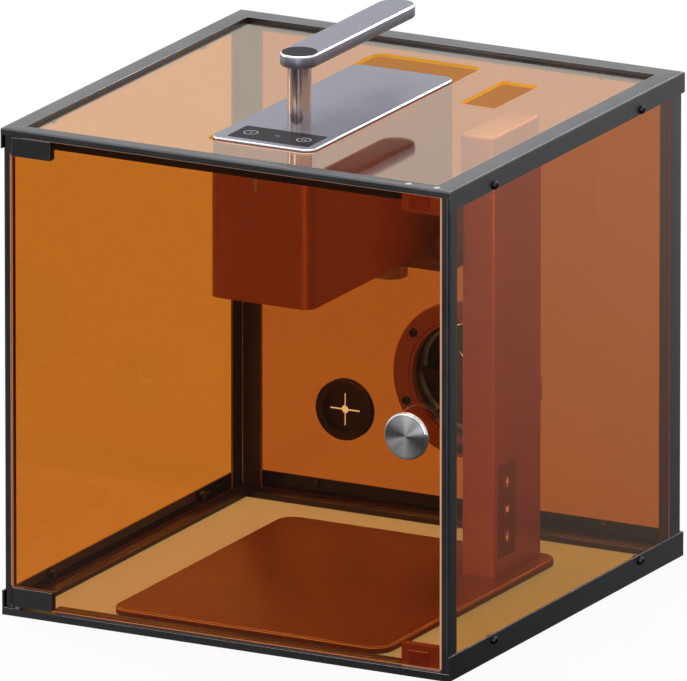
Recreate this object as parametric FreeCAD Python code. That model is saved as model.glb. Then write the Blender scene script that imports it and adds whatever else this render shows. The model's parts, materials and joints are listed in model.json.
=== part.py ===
import FreeCAD, Part

import math
import os

from FreeCAD import Vector

# Desktop laser cutter: a laser unit on its base plate, inside a square amber enclosure.
# Millimetres. +X right, +Y back, +Z up. The origin is the middle of the enclosure's footprint,
# on the surface it stands on. The door is on the front, at -Y.

X = Vector(1, 0, 0)
Y = Vector(0, 1, 0)
Z = Vector(0, 0, 1)

# ---------------------------------------------------------------- clearances
RUN_FIT = 0.05        # radial, round part turning or sliding in its bore
EDGE_GAP = 0.3        # between a panel's edge and the bar or post beside it
SCREW_GAP = 0.2       # radial, screw shank through a plain hole
MOVE_GAP = 0.3        # between parts that pass each other

# ---------------------------------------------------------------- enclosure
case_width = 400.0
case_depth = 400.0
case_height = 400.0
bar_base = 6.0        # thickness of a bar's flat base
web_wall = 1.5        # thickness of a bar's upright web
top_web = 17.0        # height of the top bars' webs
bottom_web = 20.0     # height of the bottom bars' webs
side_bar = 16.6       # width of the side bars' bases
back_bar = 19.0
front_bar = 12.0
stop_height_top = 6.7     # door stop below the top front bar
stop_height_bottom = 4.4  # door stop on the bottom front bar
bar_round = 1.8       # outer long edge of the top bars
top_rebate = 4.5      # width of the step that holds the top panel
floor_rebate = 3.0    # width of the step that holds the floor panel
post_wall = 3.0
front_post_face = 6.5
front_post_leg = 4.4      # thickness of a front post along the case's side
front_post_side = 13.5
back_post_leg = 20.0
post_round = 2.5
panel_wall = 3.0      # amber acrylic
floor_wall = 1.5

# cutouts in the top panel
head_cut_width = 96.0
head_cut_x = 0.7
head_cut_depth = 290.0
head_cut_round = 9.0
mast_cut_margin = 1.0     # past the column's sides
mast_cut_ahead = -0.5     # past the column's front
mast_cut_behind = -4.0    # past the column's back
mast_cut_round = 2.0

# panel screws
screw_r = 2.0
screw_head_r = 3.5
screw_head = 2.8
socket_r = 1.6
socket_depth = 1.6
nut_r = 3.9
nut_height = 3.2
side_screw_y = 125.0
back_screw_x = 129.0
bottom_screw_z = 15.0
top_screw_drop = 13.0     # below the top of the case

# ---------------------------------------------------------------- door
door_wall = 3.0
door_left_inset = 9.5     # from the case's left side to the door's edge
door_right_inset = 8.5
door_bottom = 8.6
hinge_inset = 13.0        # from the case's left side to the hinge axis
hinge_setback = 2.4       # hinge axis behind the door's front face
hinge_pin_r = 1.4
hinge_pin_reach = 7.5     # pin inside the hinge block
hinge_pin_root = 4.5      # pin inside the bar
hinge_collar_r = 2.3
hinge_block_length = 36.0
hinge_block_height = 15.2
hinge_front = 1.8         # block in front of the door
hinge_back = 3.5          # block behind the door
hinge_core = 9.5          # solid end of the block, in the door's notch
hinge_round = 2.0
hinge_screw_inset = (16.5, 28.5)
clamp_screw_r = 1.5
clamp_head_r = 2.6
clamp_head = 1.4

catch_inset = 44.0            # from the case's right side to the catch's left end
catch_length = 34.0
catch_depth = 7.9
catch_height_top = 15.6
catch_height_bottom = 19.6
catch_screw_inset = 4.5
catch_screw_setback = 6.0     # behind the case's front
catch_screw_r = 1.25
catch_screw_head_r = 2.7
catch_screw_length = 14.0
magnet_length = 14.0
magnet_depth = 3.0
magnet_height = 9.0
strike_length = 17.0
strike_height = 12.0
strike_wall = 0.8
strike_inset = 7.0            # from the catch's left end

knob_inset = 32.0             # from the case's right side to the knob's centre
knob_r = 19.3
knob_rim = 3.6
knob_chamfer = 1.2
knob_stem_r = 7.0
knob_stem = 10.0
knob_screw_r = 2.0
knob_washer_r = 6.5
knob_washer = 1.5
knob_head_r = 3.8
knob_head = 2.4

# ---------------------------------------------------------------- exhaust and grommet
duct_x = 8.0
duct_z = 121.0
duct_r = 50.0             # outside of the collar
duct_wall = 2.5
duct_reach = 24.0         # collar behind the case
flange_r = 65.0
flange_wall = 4.0
collar_flange_r = 62.0
collar_flange = 3.0
flange_screw_circle = 57.5
flange_screws = 6
flange_screw_start = 23.7     # degrees
fan_ring_wall = 2.2
fan_ring_depth = 24.0
fan_cup_r = 15.0
fan_cup = 8.0
fan_strut = 3.0
fan_struts = 3
hub_r = 15.5
hub_height = 13.0
blade_count = 7
blade_r = 43.6
blade_chord = 34.0        # at the blade's tip
blade_wall = 1.6
blade_pitch = 20.0
fan_shaft_r = 2.0
fan_shaft = 6.0

grommet_inset = 97.0      # from the case's left side to the grommet's middle
grommet_z = 81.0
grommet_r = 25.0
grommet_neck_r = 20.0
grommet_lip = 2.8
grommet_well_r = 18.0
membrane = 1.5            # rubber left between the wells
slit_length = 27.0
slit_width = 1.6
eye_r = 3.3

# ---------------------------------------------------------------- laser unit
unit_x = 3.3              # centre line of head and base plate
unit_setback = 178.0      # from the case's front to the middle of head and base plate
plate_width = 246.0
plate_depth = 296.0
plate_thick = 6.0
plate_round = 16.0
plate_bevel = 1.2
pad_height = 2.0
pad_r = 8.0
pad_inset = 20.0

column_inset = 44.8       # from the base plate's right end to the column's left face
column_width = 30.5
column_setback = 63.5     # from the unit's middle to the column's front
column_depth = 79.5
column_drop = 30.0        # below the top of the case
column_wall = 2.5
column_round = 3.2
slot_width = 19.0
slot_bottom = 140.0
slot_drop = 14.0          # below the column's top
guide_plate = 8.0
guide_plate_low = 50.0
guide_plate_drop = 15.0   # from the column's top down to the upper plate's underside
guide_plate_width = 21.0
guide_rod_r = 4.0
guide_rod_spread = 25.5       # from the screw to each rod
lead_screw_r = 4.0
lead_screw_low = 41.0
lead_screw_drop = 9.0     # below the column's top
bearing_r = 8.0
bearing_height = 6.0
motor_side = 17.0
motor_height = 38.0

keypad_setback = 83.0         # from the unit's middle
keypad_z = 62.5
keypad_width = 30.0
keypad_height = 77.0
keypad_depth = 6.5
keypad_round = 2.0
key_r = 6.0
key_spread = 22.6
key_well = 4.6
key_length = 3.7
key_proud = 0.4

# ---------------------------------------------------------------- carriage and arm
carriage_width = 20.5
carriage_depth = 69.5
carriage_height = 50.0
carriage_drop = 10.0          # below the arm's underside
tongue_width = 16.0
tongue_lift = 2.0             # above the arm's underside
tongue_height = 36.0
nut_body_r = 7.0
arm_drop = 138.0              # from the case's top down to the arm's underside
arm_thick = 6.4
arm_front_setback = 47.0      # from the unit's middle
arm_depth = 83.0
arm_left = -6.0               # the arm's free end
arm_round = 6.0
arm_upright = 6.0
arm_upright_gap = 2.5         # to the column's face
arm_upright_setback = 27.0    # behind the plate's front
arm_upright_height = 48.0
gusset_wall = 5.0
gusset_reach = 22.0
clamp_x = 20.0
clamp_setback = 64.0          # from the unit's middle
clamp_r = 14.0
clamp_height = 14.0
clamp_stud_r = 4.0
clamp_stud = 14.0
clamp_boss_r = 9.0
clamp_boss = 12.0
knurls = 28
knurl_r = 1.0

# ---------------------------------------------------------------- head
head_width = 92.0
head_depth = 245.0
head_shift = -2.1             # from the unit's centre line to the head's middle
head_reach = 121.0            # from the unit's middle to the head's front
head_round = 10.0
head_wall = 2.5
head_drop = 3.4               # from the case's top down to the shell's rim
top_plate = 2.4
top_plate_round = 10.0
top_plate_bevel = 1.1
glass_width = 72.0
glass_depth = 33.5
glass_round = 2.0
glass_front = 8.5             # from the plate's front edge
glass_thick = 1.4
glass_proud = 0.2
light_x = -2.2
light_width = 2.6
light_height = 13.0
light_drop = 38.1             # from the shell's rim down to the light's lower end
light_depth = 5.0
light_proud = 0.2
lens_ahead = 53.0             # from the unit's middle to the lens
lens_r = 24.0
lens_wall = 3.5
lens_drop = 6.0
lens_height = 30.0
glass_r = 20.5
glass_lens = 5.0
beam_lift = 58.0              # above the arm's underside
galvo_r = 9.5
galvo_length = 36.0
galvo_clamp = 20.0
mirror_long = 20.0
mirror_wide = 14.0
mirror_wall = 2.0
mirror_shaft_r = 1.5
mirror_shaft = 16.0
mirror_bite = 12.0            # shaft inside its motor
beam_x = -18.7
module_width = 32.0
module_ahead = 20.0           # from the unit's middle to the laser source's front
module_depth = 92.0
module_height = 36.0
module_foot = 20.0
fin_count = 7
fin_wall = 1.6
fin_height = 34.0
vent_fan_side = 44.0
vent_fan_depth = 10.0
vent_fan_lift = 83.0          # above the arm's underside
vent_bore_r = 20.0
vent_hub_r = 8.0
vent_blade_r = 18.8
vent_blades = 7
vent_chord = 11.0             # at the blade's tip
vent_blade_wall = 1.2
vent_pitch = 24.0
vent_shaft_r = 1.2
vent_slots = 6
vent_slot_width = 3.0
vent_slot_height = 34.0
board_wall = 1.6
board_ahead = 18.0            # from the unit's middle to the board's front edge
board_depth = 110.0
board_lift = 26.0             # above the arm's underside
board_height = 88.0
board_standoff = 6.0
standoff_r = 3.0
chip_height = 2.5

# ---------------------------------------------------------------- handle
handle_ahead = 58.5           # from the unit's middle to the post
post_r = 9.6
post_height = 49.3
spigot_r = 5.0
spigot = 7.5
lever_half = 15.5
lever_length = 192.5
lever_thick = 10.4
lever_bevel = 1.3
cap_r = 14.0
cap_sunk = 0.8
cap_proud = 0.3

# ---------------------------------------------------------------- worked out from the above
half_w = case_width / 2
half_d = case_depth / 2
panel_top = case_height - bar_base
web_in = half_w - web_wall            # inner face of the side webs
back_in = half_d - web_wall           # inner face of the back web
inner_w = web_in - panel_wall         # inner face of the side panels
inner_b = back_in - panel_wall        # inner face of the back panel
top_screw_z = case_height - top_screw_drop
door_left = -half_w + door_left_inset
door_right = half_w - door_right_inset
hinge_x = -half_w + hinge_inset
catch_left = half_w - catch_inset
knob_x = half_w - knob_inset
knob_z = case_height / 2
grommet_x = -half_w + grommet_inset
door_front = -half_d
door_back = door_front + door_wall
door_top = panel_top - EDGE_GAP
hinge_y = door_front + hinge_setback
hinge_low = door_bottom + 0.1
hinge_high = door_top - hinge_block_height
catch_front = door_back + strike_wall + MOVE_GAP
catch_screw_y = door_front + catch_screw_setback
floor_top = floor_wall
unit_y = -half_d + unit_setback
plate_low = floor_top + pad_height
plate_top = plate_low + plate_thick
column_front = unit_y + column_setback
column_top = case_height - column_drop
column_left = unit_x + plate_width / 2 - column_inset
column_right = column_left + column_width
column_back = column_front + column_depth
column_x = column_left + column_width / 2
column_y = column_front + column_depth / 2
column_in_left = column_left + column_wall
column_in_right = column_right - column_wall
column_in_front = column_front + column_wall
column_in_back = column_back - column_wall
slot_top = column_top - slot_drop
guide_plate_high = column_top - guide_plate_drop
lead_screw_high = column_top - lead_screw_drop
keypad_y = unit_y + keypad_setback
keypad_left = column_right - keypad_depth
arm_low = case_height - arm_drop
arm_front = unit_y + arm_front_setback
arm_back = arm_front + arm_depth
arm_upright_front = arm_front + arm_upright_setback
arm_upright_top = arm_low + arm_upright_height
carriage_low = arm_low - carriage_drop
tongue_low = arm_low + tongue_lift
clamp_y = unit_y + clamp_setback
head_top = case_height - head_drop
head_low = arm_low + arm_thick
head_left = unit_x + head_shift - head_width / 2
head_right = head_left + head_width
head_front = unit_y - head_reach
head_back = head_front + head_depth
head_floor = head_low + head_wall
light_low = head_top - light_drop
lens_y = unit_y - lens_ahead
beam_z = arm_low + beam_lift
module_front = unit_y - module_ahead
module_back = module_front + module_depth
vent_fan_z = arm_low + vent_fan_lift
board_front = unit_y - board_ahead
board_back = board_front + board_depth
board_low = arm_low + board_lift
board_high = board_low + board_height
handle_y = unit_y - handle_ahead
lever_tip = handle_y - lever_half + lever_length
plate_z = head_top + top_plate
lever_low = plate_z + post_height + MOVE_GAP
lever_top = lever_low + lever_thick


# ---------------------------------------------------------------- helpers
def block(x0, x1, y0, y1, z0, z1):
    """A box between two corners."""
    return Part.makeBox(x1 - x0, y1 - y0, z1 - z0, Vector(x0, y0, z0))


def rod(x, y, z, radius, length, axis=Z):
    """A cylinder from the point x, y, z along axis."""
    return Part.makeCylinder(radius, length, Vector(x, y, z), axis)


def tube(x, y, z, outer, inner, length, axis=Z):
    """A hollow cylinder."""
    return rod(x, y, z, outer, length, axis).cut(rod(x, y, z, inner, length, axis))


def prism(points, z0, z1):
    """A plan outline raised from z0 to z1."""
    corners = [Vector(x, y, z0) for x, y in points]
    face = Part.Face(Part.makePolygon(corners + corners[:1]))
    return face.extrude(Vector(0, 0, z1 - z0))


def along(shape, axis):
    """The straight edges of a shape that run along an axis."""
    found = []
    for edge in shape.Edges:
        if len(edge.Vertexes) == 2:
            run = edge.Vertexes[1].Point - edge.Vertexes[0].Point
            if run.Length > 1e-6 and abs(abs(run.normalize().dot(axis)) - 1) < 1e-6:
                found.append(edge)
    return found


def rounded(x0, x1, y0, y1, z0, z1, radius):
    """A box with its upright edges rounded."""
    shape = block(x0, x1, y0, y1, z0, z1)
    return shape.makeFillet(radius, along(shape, Z))


def rim(shape, z):
    """All edges of a shape that lie in the plane at height z."""
    return [e for e in shape.Edges if abs(e.BoundBox.ZMin - z) < 1e-4 and abs(e.BoundBox.ZMax - z) < 1e-4]


def fuse(shapes):
    """One solid from shapes that touch or overlap."""
    return shapes[0].multiFuse(shapes[1:]).removeSplitter()


def cut(shape, tools):
    """A shape less each of the tools."""
    for tool in tools:
        shape = shape.cut(tool)
    return shape


def mirrored(shape):
    """The same shape on the other side of the middle plane x = 0."""
    return shape.mirror(Vector(0, 0, 0), X)


def group(shapes):
    """Separate solids that share one node."""
    return Part.makeCompound(shapes)


# ---------------------------------------------------------------- frame bars
def ring_corners():
    """Outer and inner corners of the mitred ring, front left first, clockwise seen from above."""
    outer = [(-half_w, -half_d), (-half_w, half_d), (half_w, half_d), (half_w, -half_d)]
    inner = [
        (-half_w + side_bar, -half_d + front_bar),
        (-half_w + side_bar, half_d - back_bar),
        (half_w - side_bar, half_d - back_bar),
        (half_w - side_bar, -half_d + front_bar),
    ]
    return outer, inner


def bar_plan(start, end):
    """Plan of one mitred bar between two corners of the ring."""
    outer, inner = ring_corners()
    return [outer[start], outer[end], inner[end], inner[start]]


def rebate_box(z0):
    """What the ring leaves free for the top or the floor panel."""
    wall, step = (panel_wall, top_rebate) if z0 > 0 else (floor_wall, floor_rebate)
    return block(
        -half_w + side_bar - step, half_w - side_bar + step,
        -half_d + front_bar - step, half_d - back_bar + step, z0, z0 + wall,
    )


def bar_base_solid(start, end, top):
    """A bar's flat base with its rebate."""
    z0 = panel_top if top else 0.0
    base = prism(bar_plan(start, end), z0, z0 + bar_base)
    return base.cut(rebate_box(z0))


def side_web(top):
    """Upright web of the left side bar, square at the front and mitred at the back."""
    z0, z1 = (case_height - top_web, panel_top) if top else (bar_base, bottom_web)
    plan = [(-half_w, -half_d), (-web_in, -half_d), (-web_in, back_in), (-half_w, half_d)]
    return prism(plan, z0, z1)


def back_web(top):
    """Upright web of the back bar, mitred at both ends."""
    z0, z1 = (case_height - top_web, panel_top) if top else (bar_base, bottom_web)
    plan = [(-half_w, half_d), (half_w, half_d), (web_in, back_in), (-web_in, back_in)]
    return prism(plan, z0, z1)


def ease_outer_edge(bar, test):
    """Rounds the outer long edge at the very top of a top bar."""
    edges = [e for e in rim(bar, case_height) if e.Length > case_width / 2 and test(e.CenterOfMass)]
    return bar.makeFillet(bar_round, edges)


def side_screw_holes(radius, x0, length):
    """Holes or shanks of the four screws on the left side."""
    spots = [(y, z) for y in (-side_screw_y, side_screw_y) for z in (bottom_screw_z, top_screw_z)]
    return [rod(x0, y, z, radius, length, X) for y, z in spots]


def back_screw_holes(radius, y0, length):
    """Holes or shanks of the four screws on the back."""
    spots = [(x, z) for x in (-back_screw_x, back_screw_x) for z in (bottom_screw_z, top_screw_z)]
    return [rod(x, y0, z, radius, length, Y) for x, z in spots]


def side_bars(top):
    """The left and right bars of one ring."""
    bar = fuse([bar_base_solid(0, 1, top), side_web(top)])
    if top:
        bar = ease_outer_edge(bar, lambda c: abs(c.x + half_w) < 0.01)
    bar = cut(bar, side_screw_holes(screw_r + SCREW_GAP, -half_w, web_wall))
    return group([bar, mirrored(bar)])


def back_bars(top):
    """The back bar of one ring."""
    bar = fuse([bar_base_solid(1, 2, top), back_web(top)])
    if top:
        bar = ease_outer_edge(bar, lambda c: abs(c.y - half_d) < 0.01)
    return cut(bar, back_screw_holes(screw_r + SCREW_GAP, back_in, web_wall))


def door_stop(top):
    """Rib of a front bar that the closed door nearly touches, between hinge block and catch."""
    z0, z1 = (panel_top - stop_height_top, panel_top) if top else (bar_base, bar_base + stop_height_bottom)
    x0 = door_left + hinge_block_length + 1.0
    return block(x0, catch_left - EDGE_GAP, door_back + MOVE_GAP, -half_d + front_bar, z0, z1)


def front_bars(top):
    """The front bar of one ring, with its door stop and the hinge pin's and catch screws' holes."""
    bar = fuse([bar_base_solid(3, 0, top), door_stop(top)])
    if top:
        bar = ease_outer_edge(bar, lambda c: abs(c.y + half_d) < 0.01)
        pin = rod(hinge_x, hinge_y, panel_top, hinge_pin_r, hinge_pin_root)
    else:
        pin = rod(hinge_x, hinge_y, bar_base - hinge_pin_root, hinge_pin_r, hinge_pin_root)
    return cut(bar, [pin] + catch_screw_set(top, 0.0))


# ---------------------------------------------------------------- posts and panels
def post(points):
    """A corner post from its plan, its first corner rounded, standing between the rings."""
    shape = prism(points, bar_base, panel_top)
    x, y = points[0]
    corner = [e for e in along(shape, Z) if abs(e.CenterOfMass.x - x) + abs(e.CenterOfMass.y - y) < 0.01]
    return shape.makeFillet(post_round, corner)


def front_posts():
    """Two unequal angles at the front corners."""
    x, y, w = -web_in, -back_in, post_wall
    leg = x + front_post_leg
    left = post([
        (x, y), (x + front_post_face, y), (x + front_post_face, y + w),
        (leg, y + w), (leg, y + front_post_side), (x, y + front_post_side),
    ])
    return group([left, mirrored(left)])


def back_posts():
    """Two equal angles at the back corners."""
    x, y, w, leg = -web_in, back_in, post_wall, back_post_leg
    left = post([(x, y), (x, y - leg), (x + w, y - leg), (x + w, y - w), (x + leg, y - w), (x + leg, y)])
    return group([left, mirrored(left)])


def side_panels():
    """Left and right amber panels between the posts."""
    y0 = -back_in + front_post_side + EDGE_GAP
    y1 = back_in - back_post_leg - EDGE_GAP
    z0, z1 = bar_base + EDGE_GAP, panel_top - EDGE_GAP
    left = block(-web_in, -inner_w, y0, y1, z0, z1)
    left = cut(left, side_screw_holes(screw_r + SCREW_GAP, -web_in, panel_wall))
    return group([left, mirrored(left)])


def back_panel():
    """Back amber panel with the duct's and the grommet's holes."""
    half = web_in - back_post_leg - EDGE_GAP
    panel = block(-half, half, inner_b, back_in, bar_base + EDGE_GAP, panel_top - EDGE_GAP)
    holes = back_screw_holes(screw_r + SCREW_GAP, inner_b, panel_wall)
    holes.append(rod(duct_x, inner_b, duct_z, duct_r + EDGE_GAP, panel_wall, Y))
    holes.append(rod(grommet_x, inner_b, grommet_z, grommet_neck_r, panel_wall, Y))
    holes += flange_screw_set(screw_r + SCREW_GAP, inner_b, panel_wall)
    return cut(panel, holes)


def ring_panel(z0, wall, step):
    """A flat panel that lies in the rebate of a ring."""
    x = half_w - side_bar + step - EDGE_GAP
    y0 = -half_d + front_bar - step + EDGE_GAP
    y1 = half_d - back_bar + step - EDGE_GAP
    return block(-x, x, y0, y1, z0, z0 + wall)


def top_panel():
    """Top amber panel with a cutout for the head and a smaller one above the column."""
    x, y = head_cut_width / 2, head_cut_depth / 2
    head_cut = rounded(head_cut_x - x, head_cut_x + x, -y, y, panel_top, panel_top + panel_wall,
                       head_cut_round)
    mast_cut = rounded(
        column_left - mast_cut_margin, column_right + mast_cut_margin,
        column_front - mast_cut_ahead, column_back + mast_cut_behind,
        panel_top, panel_top + panel_wall, mast_cut_round,
    )
    return cut(ring_panel(panel_top, panel_wall, top_rebate), [head_cut, mast_cut])


def floor_panel():
    """White floor sheet in the rebate of the bottom ring."""
    return ring_panel(0.0, floor_wall, floor_rebate)


# ---------------------------------------------------------------- panel screws
def side_screw(y, z):
    """One socket screw through the left web and panel."""
    head = rod(-half_w, y, z, screw_head_r, screw_head, -X)
    socket = rod(-half_w - screw_head, y, z, socket_r, socket_depth, X)
    shank = rod(-half_w, y, z, screw_r, web_wall + panel_wall + nut_height, X)
    return fuse([head, shank]).cut(socket)


def back_screw(x, z):
    """One socket screw through the back web and panel."""
    head = rod(x, half_d, z, screw_head_r, screw_head, Y)
    socket = rod(x, half_d + screw_head, z, socket_r, socket_depth, -Y)
    shank = rod(x, half_d, z, screw_r, web_wall + panel_wall + nut_height, -Y)
    return fuse([head, shank]).cut(socket)


def hex_nut():
    """A hexagon nut on the +X axis, its seat at the origin."""
    corners = [(nut_r * math.cos(math.radians(60 * i)), nut_r * math.sin(math.radians(60 * i)))
               for i in range(6)]
    flat = prism(corners, 0.0, nut_height).cut(rod(0, 0, 0, screw_r, nut_height))
    return flat.rotate(Vector(0, 0, 0), Y, 90)


def side_nut(y, z):
    """One nut on the left panel's inner face."""
    return hex_nut().translate(Vector(-inner_w, y, z))


def back_nut(x, z):
    """One nut on the back panel's inner face."""
    return hex_nut().rotate(Vector(0, 0, 0), Z, -90).translate(Vector(x, inner_b, z))


def panel_hardware(on_side, on_back):
    """A copy of a fastener at each of the twelve screw places."""
    heights = (bottom_screw_z, top_screw_z)
    left = [on_side(y, z) for y in (-side_screw_y, side_screw_y) for z in heights]
    back = [on_back(x, z) for x in (-back_screw_x, back_screw_x) for z in heights]
    return group(left + [mirrored(one) for one in left] + back)


# ---------------------------------------------------------------- door
def hinge_pins():
    """Two pins in the front bars; the lower one has the collar that carries the door."""
    low = rod(hinge_x, hinge_y, bar_base - hinge_pin_root, hinge_pin_r,
              hinge_pin_root + hinge_low - bar_base + hinge_pin_reach)
    collar = rod(hinge_x, hinge_y, bar_base, hinge_collar_r, hinge_low - bar_base - MOVE_GAP)
    high = rod(hinge_x, hinge_y, door_top - hinge_pin_reach, hinge_pin_r,
               hinge_pin_reach + EDGE_GAP + hinge_pin_root)
    return group([fuse([low, collar]), high])


def hinge_screw_spots():
    """Centres of the clamp screws in the door's plane."""
    heights = (hinge_low + hinge_block_height / 2, hinge_high + hinge_block_height / 2)
    return [(door_left + inset, z) for z in heights for inset in hinge_screw_inset]


def hinge_block(z0, pin_z):
    """A clamp block that grips the door and turns on its pin."""
    z1 = z0 + hinge_block_height
    end = door_left + hinge_block_length
    front = block(door_left, end, door_front - hinge_front, door_front, z0, z1)
    core = block(door_left, door_left + hinge_core, door_front, door_back, z0, z1)
    back = block(door_left, end, door_back, door_back + hinge_back, z0, z1)
    shape = fuse([front, core, back])
    upright = [e for e in along(shape, Z) if abs(e.CenterOfMass.x - door_left) < 0.01]
    shape = shape.makeFillet(hinge_round, upright)
    bore = rod(hinge_x, hinge_y, pin_z, hinge_pin_r + RUN_FIT, hinge_pin_reach + MOVE_GAP)
    screws = [rod(x, door_front - clamp_screw_root(), z, clamp_screw_r,
                  clamp_screw_root() + door_wall + hinge_back, Y) for x, z in hinge_screw_spots()]
    return cut(shape, [bore] + screws)


def clamp_screw_root():
    """How far a clamp screw reaches into the block's front plate."""
    return hinge_front - 0.6


def hinge_blocks():
    """Lower and upper hinge block."""
    low = hinge_block(hinge_low, hinge_low)
    high = hinge_block(hinge_high, door_top - hinge_pin_reach - MOVE_GAP)
    return group([low, high])


def door_panel():
    """Frameless amber door with notches for the hinge cores and holes for its fittings."""
    panel = block(door_left, door_right, door_front, door_back, door_bottom, door_top)
    notch_x = door_left + hinge_core
    low = block(door_left, notch_x, door_front, door_back, door_bottom, hinge_low + hinge_block_height)
    high = block(door_left, notch_x, door_front, door_back, hinge_high, door_top)
    holes = [rod(x, door_front, z, clamp_screw_r + SCREW_GAP, door_wall, Y) for x, z in hinge_screw_spots()]
    holes.append(rod(knob_x, door_front, knob_z, knob_screw_r + SCREW_GAP, door_wall, Y))
    return cut(panel, [low, high] + holes)


def door_screws():
    """Four clamp screws and the knob's screw, all put in from inside."""
    screws = []
    for x, z in hinge_screw_spots():
        shank = rod(x, door_front - clamp_screw_root(), z, clamp_screw_r,
                    clamp_screw_root() + door_wall + hinge_back, Y)
        head = rod(x, door_back + hinge_back, z, clamp_head_r, clamp_head, Y)
        screws.append(fuse([shank, head]))
    shank = rod(knob_x, door_front - knob_stem + 2, knob_z, knob_screw_r,
                knob_stem - 2 + door_wall + knob_washer, Y)
    washer = rod(knob_x, door_back, knob_z, knob_washer_r, knob_washer, Y)
    head = rod(knob_x, door_back + knob_washer, knob_z, knob_head_r, knob_head, Y)
    screws.append(fuse([shank, washer, head]))
    return group(screws)


def door_knob():
    """Turned knob: a flat disc with a bevelled rim on a waisted stem."""
    x, z = knob_x, knob_z
    stem = rod(x, door_front - knob_stem, z, knob_stem_r, knob_stem, Y)
    back = door_front - knob_stem
    disc = rod(x, back - knob_rim, z, knob_r, knob_rim, Y)
    face = [e for e in disc.Edges if abs(e.BoundBox.YMax - (back - knob_rim)) < 1e-4]
    disc = disc.makeChamfer(knob_chamfer, face)
    bore = rod(x, door_front - knob_stem + 2, z, knob_screw_r, knob_stem - 2, Y)
    return fuse([disc, stem]).cut(bore)


# ---------------------------------------------------------------- catches
def catch_screw_set(top, clearance):
    """The two countersunk screws of one catch, grown by a clearance."""
    face = case_height if top else 0.0
    inward = -1 if top else 1
    radius, head = catch_screw_r + clearance, catch_screw_head_r + clearance
    depth = head - radius
    screws = []
    for x in (catch_left + catch_screw_inset, catch_left + catch_length - catch_screw_inset):
        base = Vector(x, catch_screw_y, face)
        shank = Part.makeCylinder(radius, catch_screw_length, base, Z * inward)
        cone = Part.makeCone(head, radius, depth, base, Z * inward)
        screws.append(fuse([shank, cone]))
    return screws


def catch_span(top):
    """Lowest and highest z of one catch block."""
    if top:
        return panel_top - catch_height_top, panel_top
    return bar_base, bar_base + catch_height_bottom


def strike_middle(top):
    """Height of the middle of one strike plate and its magnet."""
    return door_top - 0.7 - strike_height / 2 if top else hinge_low + 0.3 + strike_height / 2


def magnet_box(top):
    """The space of one magnet in its catch block."""
    middle_x = catch_left + strike_inset + strike_length / 2
    z = strike_middle(top)
    return block(middle_x - magnet_length / 2, middle_x + magnet_length / 2, catch_front,
                 catch_front + magnet_depth, z - magnet_height / 2, z + magnet_height / 2)


def catch_blocks():
    """Blocks behind the door's free edge, at the top and the bottom."""
    blocks = []
    for top in (True, False):
        z0, z1 = catch_span(top)
        body = block(catch_left, catch_left + catch_length, catch_front, catch_front + catch_depth, z0, z1)
        blocks.append(cut(body, [magnet_box(top)] + catch_screw_set(top, 0.0)))
    return group(blocks)


def catch_magnets():
    """One magnet in each catch block."""
    return group([magnet_box(True), magnet_box(False)])


def catch_screws():
    """Four countersunk screws that hold the catches to the front bars."""
    return group(catch_screw_set(True, 0.0) + catch_screw_set(False, 0.0))


def strike_plates():
    """Two steel plates on the door's inner face."""
    x0 = catch_left + strike_inset
    plates = []
    for top in (True, False):
        z = strike_middle(top)
        plates.append(block(x0, x0 + strike_length, door_back, door_back + strike_wall,
                            z - strike_height / 2, z + strike_height / 2))
    return group(plates)


# ---------------------------------------------------------------- exhaust and grommet
def flange_screw_set(radius, y0, length):
    """Cylinders on the flange's screw circle."""
    found = []
    for i in range(flange_screws):
        angle = math.radians(flange_screw_start + 360.0 * i / flange_screws)
        x = duct_x + flange_screw_circle * math.cos(angle)
        z = duct_z + flange_screw_circle * math.sin(angle)
        found.append(rod(x, y0, z, radius, length, Y))
    return found


def exhaust_flange():
    """Ring on the inner face of the back panel."""
    y0 = inner_b - flange_wall
    ring = tube(duct_x, y0, duct_z, flange_r, duct_r, flange_wall, Y)
    front = [e for e in ring.Edges if abs(e.BoundBox.YMax - y0) < 1e-4]
    ring = ring.makeChamfer(1.0, front)
    return cut(ring, flange_screw_set(screw_r + SCREW_GAP, y0, flange_wall))


def duct_collar():
    """Round collar through the back panel, for the exhaust hose."""
    y0 = inner_b - flange_wall
    sleeve = rod(duct_x, y0, duct_z, duct_r, half_d + duct_reach - y0, Y)
    plate = rod(duct_x, back_in, duct_z, collar_flange_r, collar_flange, Y)
    bore = rod(duct_x, y0, duct_z, duct_r - duct_wall, half_d + duct_reach - y0, Y)
    return cut(fuse([sleeve, plate]), [bore] + flange_screw_set(screw_r, back_in, collar_flange))


def exhaust_screws():
    """Screws through flange and panel into the collar's plate."""
    y0 = inner_b - flange_wall
    heads = flange_screw_set(screw_head_r, y0 - screw_head, screw_head)
    shanks = flange_screw_set(screw_r, y0, back_in + collar_flange - y0)
    sockets = flange_screw_set(socket_r, y0 - screw_head, socket_depth)
    return group([fuse([h, s]).cut(k) for h, s, k in zip(heads, shanks, sockets)])


def fan_y():
    """Front of the exhaust fan."""
    return back_in


def fan_frame():
    """Ring, struts and motor cup of the exhaust fan, inside the collar."""
    outer = duct_r - duct_wall
    y0 = fan_y()
    y1 = y0 + fan_ring_depth
    ring = tube(duct_x, y0, duct_z, outer, outer - fan_ring_wall, fan_ring_depth, Y)
    cup = rod(duct_x, y1 - fan_cup, duct_z, fan_cup_r, fan_cup, Y)
    struts = []
    for i in range(fan_struts):
        strut = block(duct_x + fan_cup_r / 2, duct_x + outer - fan_ring_wall / 2, y1 - fan_strut * 2, y1,
                      duct_z - fan_strut / 2, duct_z + fan_strut / 2)
        struts.append(strut.rotate(Vector(duct_x, 0, duct_z), Y, 360.0 * i / fan_struts + 30))
    bore = rod(duct_x, y1 - fan_cup, duct_z, fan_shaft_r + RUN_FIT, fan_shaft, Y)
    return fuse([ring, cup] + struts).cut(bore)


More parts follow.
